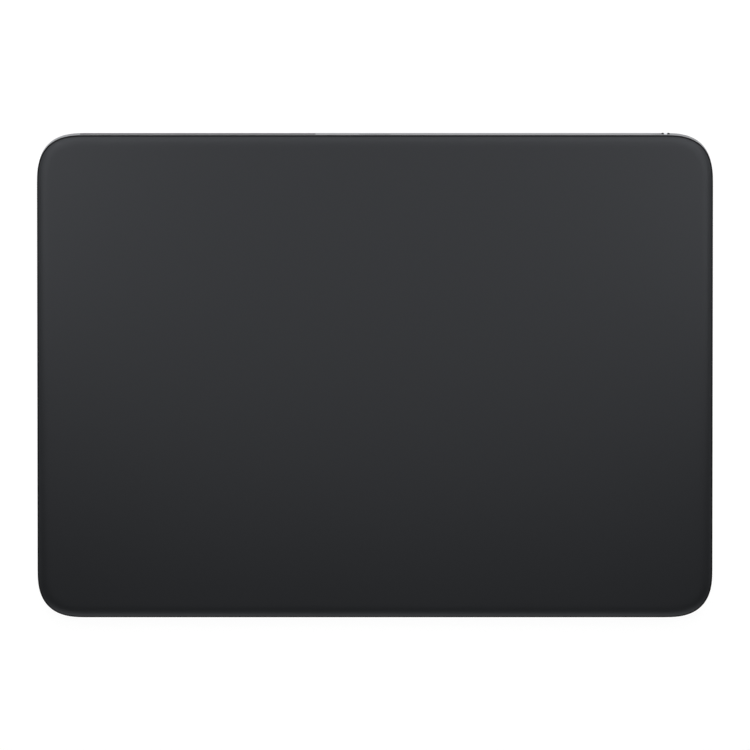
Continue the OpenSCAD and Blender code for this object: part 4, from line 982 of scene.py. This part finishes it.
# %% Give every piece its finish
for node, slot in slot_of.items():
    mesh = nodes[node].data
    mesh.materials.clear()
    mesh.materials.append(finishes[slot])
for piece, pair in ((knob, (painted_highlight_metal, painted_shade_black)), (tray_shell, (anodised, milled))):
    for finish in pair:
        piece.data.materials.append(finish)
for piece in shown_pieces():
    if "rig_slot" in piece and not piece.data.materials:
        piece.data.materials.append(finishes[piece["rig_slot"]])

# %% [markdown]
# ## The floor
# The picture's ground is plain white. A white card under soft light comes out light grey, so for the camera,
# and for what metal and glass mirror, the floor glows a little: that lifts the card to white and keeps the
# shadow. A plane would end in a line, so it is a wide disc whose edge turns up, as a studio's paper does.

# %% Lay the floor
FLOOR_RADIUS = 2.0         # in metres
COVE = (0.6, 0.35)         # run and height of the floor's turned-up edge, in metres
floor_round = outline(2 * FLOOR_RADIUS, 2 * FLOOR_RADIUS, FLOOR_RADIUS)
floor_rings = [
    ring(floor_round, -COVE[0] * math.sin(turn), level(COVE[1] * (1 - math.cos(turn))))
    for turn in quarter_turn(steps=8)
]
count = len(floor_round)
floor_faces = [tuple(range(count))]
for r in range(len(floor_rings) - 1):
    for k in range(count):
        a, b = r * count + k, r * count + (k + 1) % count
        floor_faces.append((a, a + count, b + count, b))
floor_mesh = bpy.data.meshes.new("floor")
floor_mesh.from_pydata([p for one in floor_rings for p in one], [], floor_faces)
smooth(floor_mesh)
floor = bpy.data.objects.new("floor", floor_mesh)
scene.collection.objects.link(floor)
print("floor:", len(floor_mesh.polygons), "faces")

# %% White card
CARD_SHADE = 0.14          # how much of the light that falls on the card is added to its glow
CARD_GLOW = 0.92           # where 1 is white
card, tree = new_material("white_card")
path = add(tree, "LightPath").outputs
seen = add(tree, "Math", {}, {0: path["Is Camera Ray"], 1: path["Is Glossy Ray"]}, operation="MAXIMUM")
seen = add(tree, "Math", {}, {0: seen, 1: path["Is Transmission Ray"]}, operation="MAXIMUM")
matt = add(tree, "BsdfDiffuse", {"Color": linear("#e6e6e6")})
shade = add(tree, "BsdfDiffuse", {"Color": (CARD_SHADE, CARD_SHADE, CARD_SHADE, 1)})
glow = add(tree, "Emission", {"Color": (1, 1, 1, 1), "Strength": CARD_GLOW})
lifted = add(tree, "AddShader", {}, {0: shade, 1: glow})
upper = add(tree, "MixShader", {}, {"Fac": seen, 1: matt, 2: lifted})
# From below, the floor is clear, so the underside can be looked at too.
below = add(tree, "NewGeometry").outputs["Backfacing"]
clear = add(tree, "BsdfTransparent")
both = add(tree, "MixShader", {}, {"Fac": below, 1: upper, 2: clear})
add(tree, "OutputMaterial", links={"Surface": both})
floor_mesh.materials.append(card)
print(f"{card.name}: {len(tree.nodes)} nodes")

# %% [markdown]
# ## Light
# The photograph's plate is lightest at the rear and darkens smoothly to the front, and its sides are a little
# lighter than its middle. One lamp would light it evenly, so three panels hang side by side, 15 cm over the
# rear half, and the middle one is dimmer. A narrow strip behind them lifts the rear edge. Low boxes in front,
# behind and at both sides light the walls, and a dim grey room fills in the rest.


# %% A softbox and the room
def softbox(name, centre, size, radiance, target=None):
    """A soft light of even brightness that faces a point, or straight down. The camera doesn't see it."""
    lamp = bpy.data.lights.new(name, "AREA")
    lamp.shape = "RECTANGLE"
    lamp.size, lamp.size_y = size
    lamp.energy = radiance * math.pi * size[0] * size[1]
    box = bpy.data.objects.new(name, lamp)
    box.location = centre
    aim = Vector(target) - Vector(centre) if target else Vector((0, 0, -1))
    box.rotation_euler = aim.to_track_quat("-Z", "Y").to_euler()
    box.visible_camera = False
    scene.collection.objects.link(box)
    print(f"{name}: {lamp.energy:.3f} W")


ROOM = 0.08                # brightness of the room, where 1 is white
world = bpy.data.worlds.new("studio")
scene.world = world
world.use_nodes = True
background = world.node_tree.nodes["Background"]
background.inputs["Color"].default_value = (0.98, 0.99, 1.0, 1)
background.inputs["Strength"].default_value = ROOM

# %% Hang the lights
PANEL_Z = 0.149            # height of the panels, in metres as all places and sizes here
STRIP_Z = PANEL_Z + 0.006  # the strip hangs a little higher, so that it doesn't cross a panel
MIDDLE = (0, 0, 0)         # what the low boxes face
for side, name in ((-1, "left"), (1, "right")):
    softbox("overhead_" + name, (side * 0.1285, 0.09, PANEL_Z), size=(0.089, 0.21), radiance=2.05)
    softbox("low_" + name, (side * 0.8, 0.1, 0.35), size=(0.6, 0.4), radiance=1.15, target=MIDDLE)
softbox("overhead_middle", (0, 0.067, PANEL_Z), size=(0.168, 0.256), radiance=0.92)
softbox("rear_strip", (0, 0.135, STRIP_Z), size=(0.9, 0.024), radiance=2.6)
softbox("front", (0, -0.75, 0.333), size=(1.4, 0.5), radiance=1.28, target=MIDDLE)
softbox("rear", (0, 0.8, 0.35), size=(1.2, 0.4), radiance=1.4, target=MIDDLE)

# %% [markdown]
# ## Camera
# The picture is taken from straight above, tipped about 4 degrees so that a sliver of the rear wall shows,
# with a long lens that keeps the outline square. The lens follows from the picture's scale: what lies in view
# at the camera's distance has to fill the sensor.

# %% Set up the camera
IMAGE_PX = 750
SCALE_PX = 4.222           # pixels per millimetre in the picture
VIEW_TILT = math.radians(4.05)
CAMERA_FAR = 6.0           # distance in metres
CLIP_FAR = 100             # what lies farther off than this isn't drawn, in metres
SENSOR = 36.0              # width of the sensor in millimetres
AIM_Y = 0.444 * MM         # how far behind the part's middle the camera aims
camera_data = bpy.data.cameras.new("camera")
camera_data.sensor_width = SENSOR
camera_data.lens = SENSOR * CAMERA_FAR / (IMAGE_PX / SCALE_PX * MM)
camera_data.clip_end = CLIP_FAR
camera = bpy.data.objects.new("camera", camera_data)
scene.collection.objects.link(camera)
scene.camera = camera
back = Vector((0, math.sin(VIEW_TILT), math.cos(VIEW_TILT)))
camera.location = Vector((0, AIM_Y, plate_origin.z)) + back * CAMERA_FAR
camera.rotation_euler = (-VIEW_TILT, 0, 0)
scene.view_settings.view_transform = "Standard"
print(f"lens {camera_data.lens:.0f} mm, {CAMERA_FAR:.0f} m away")
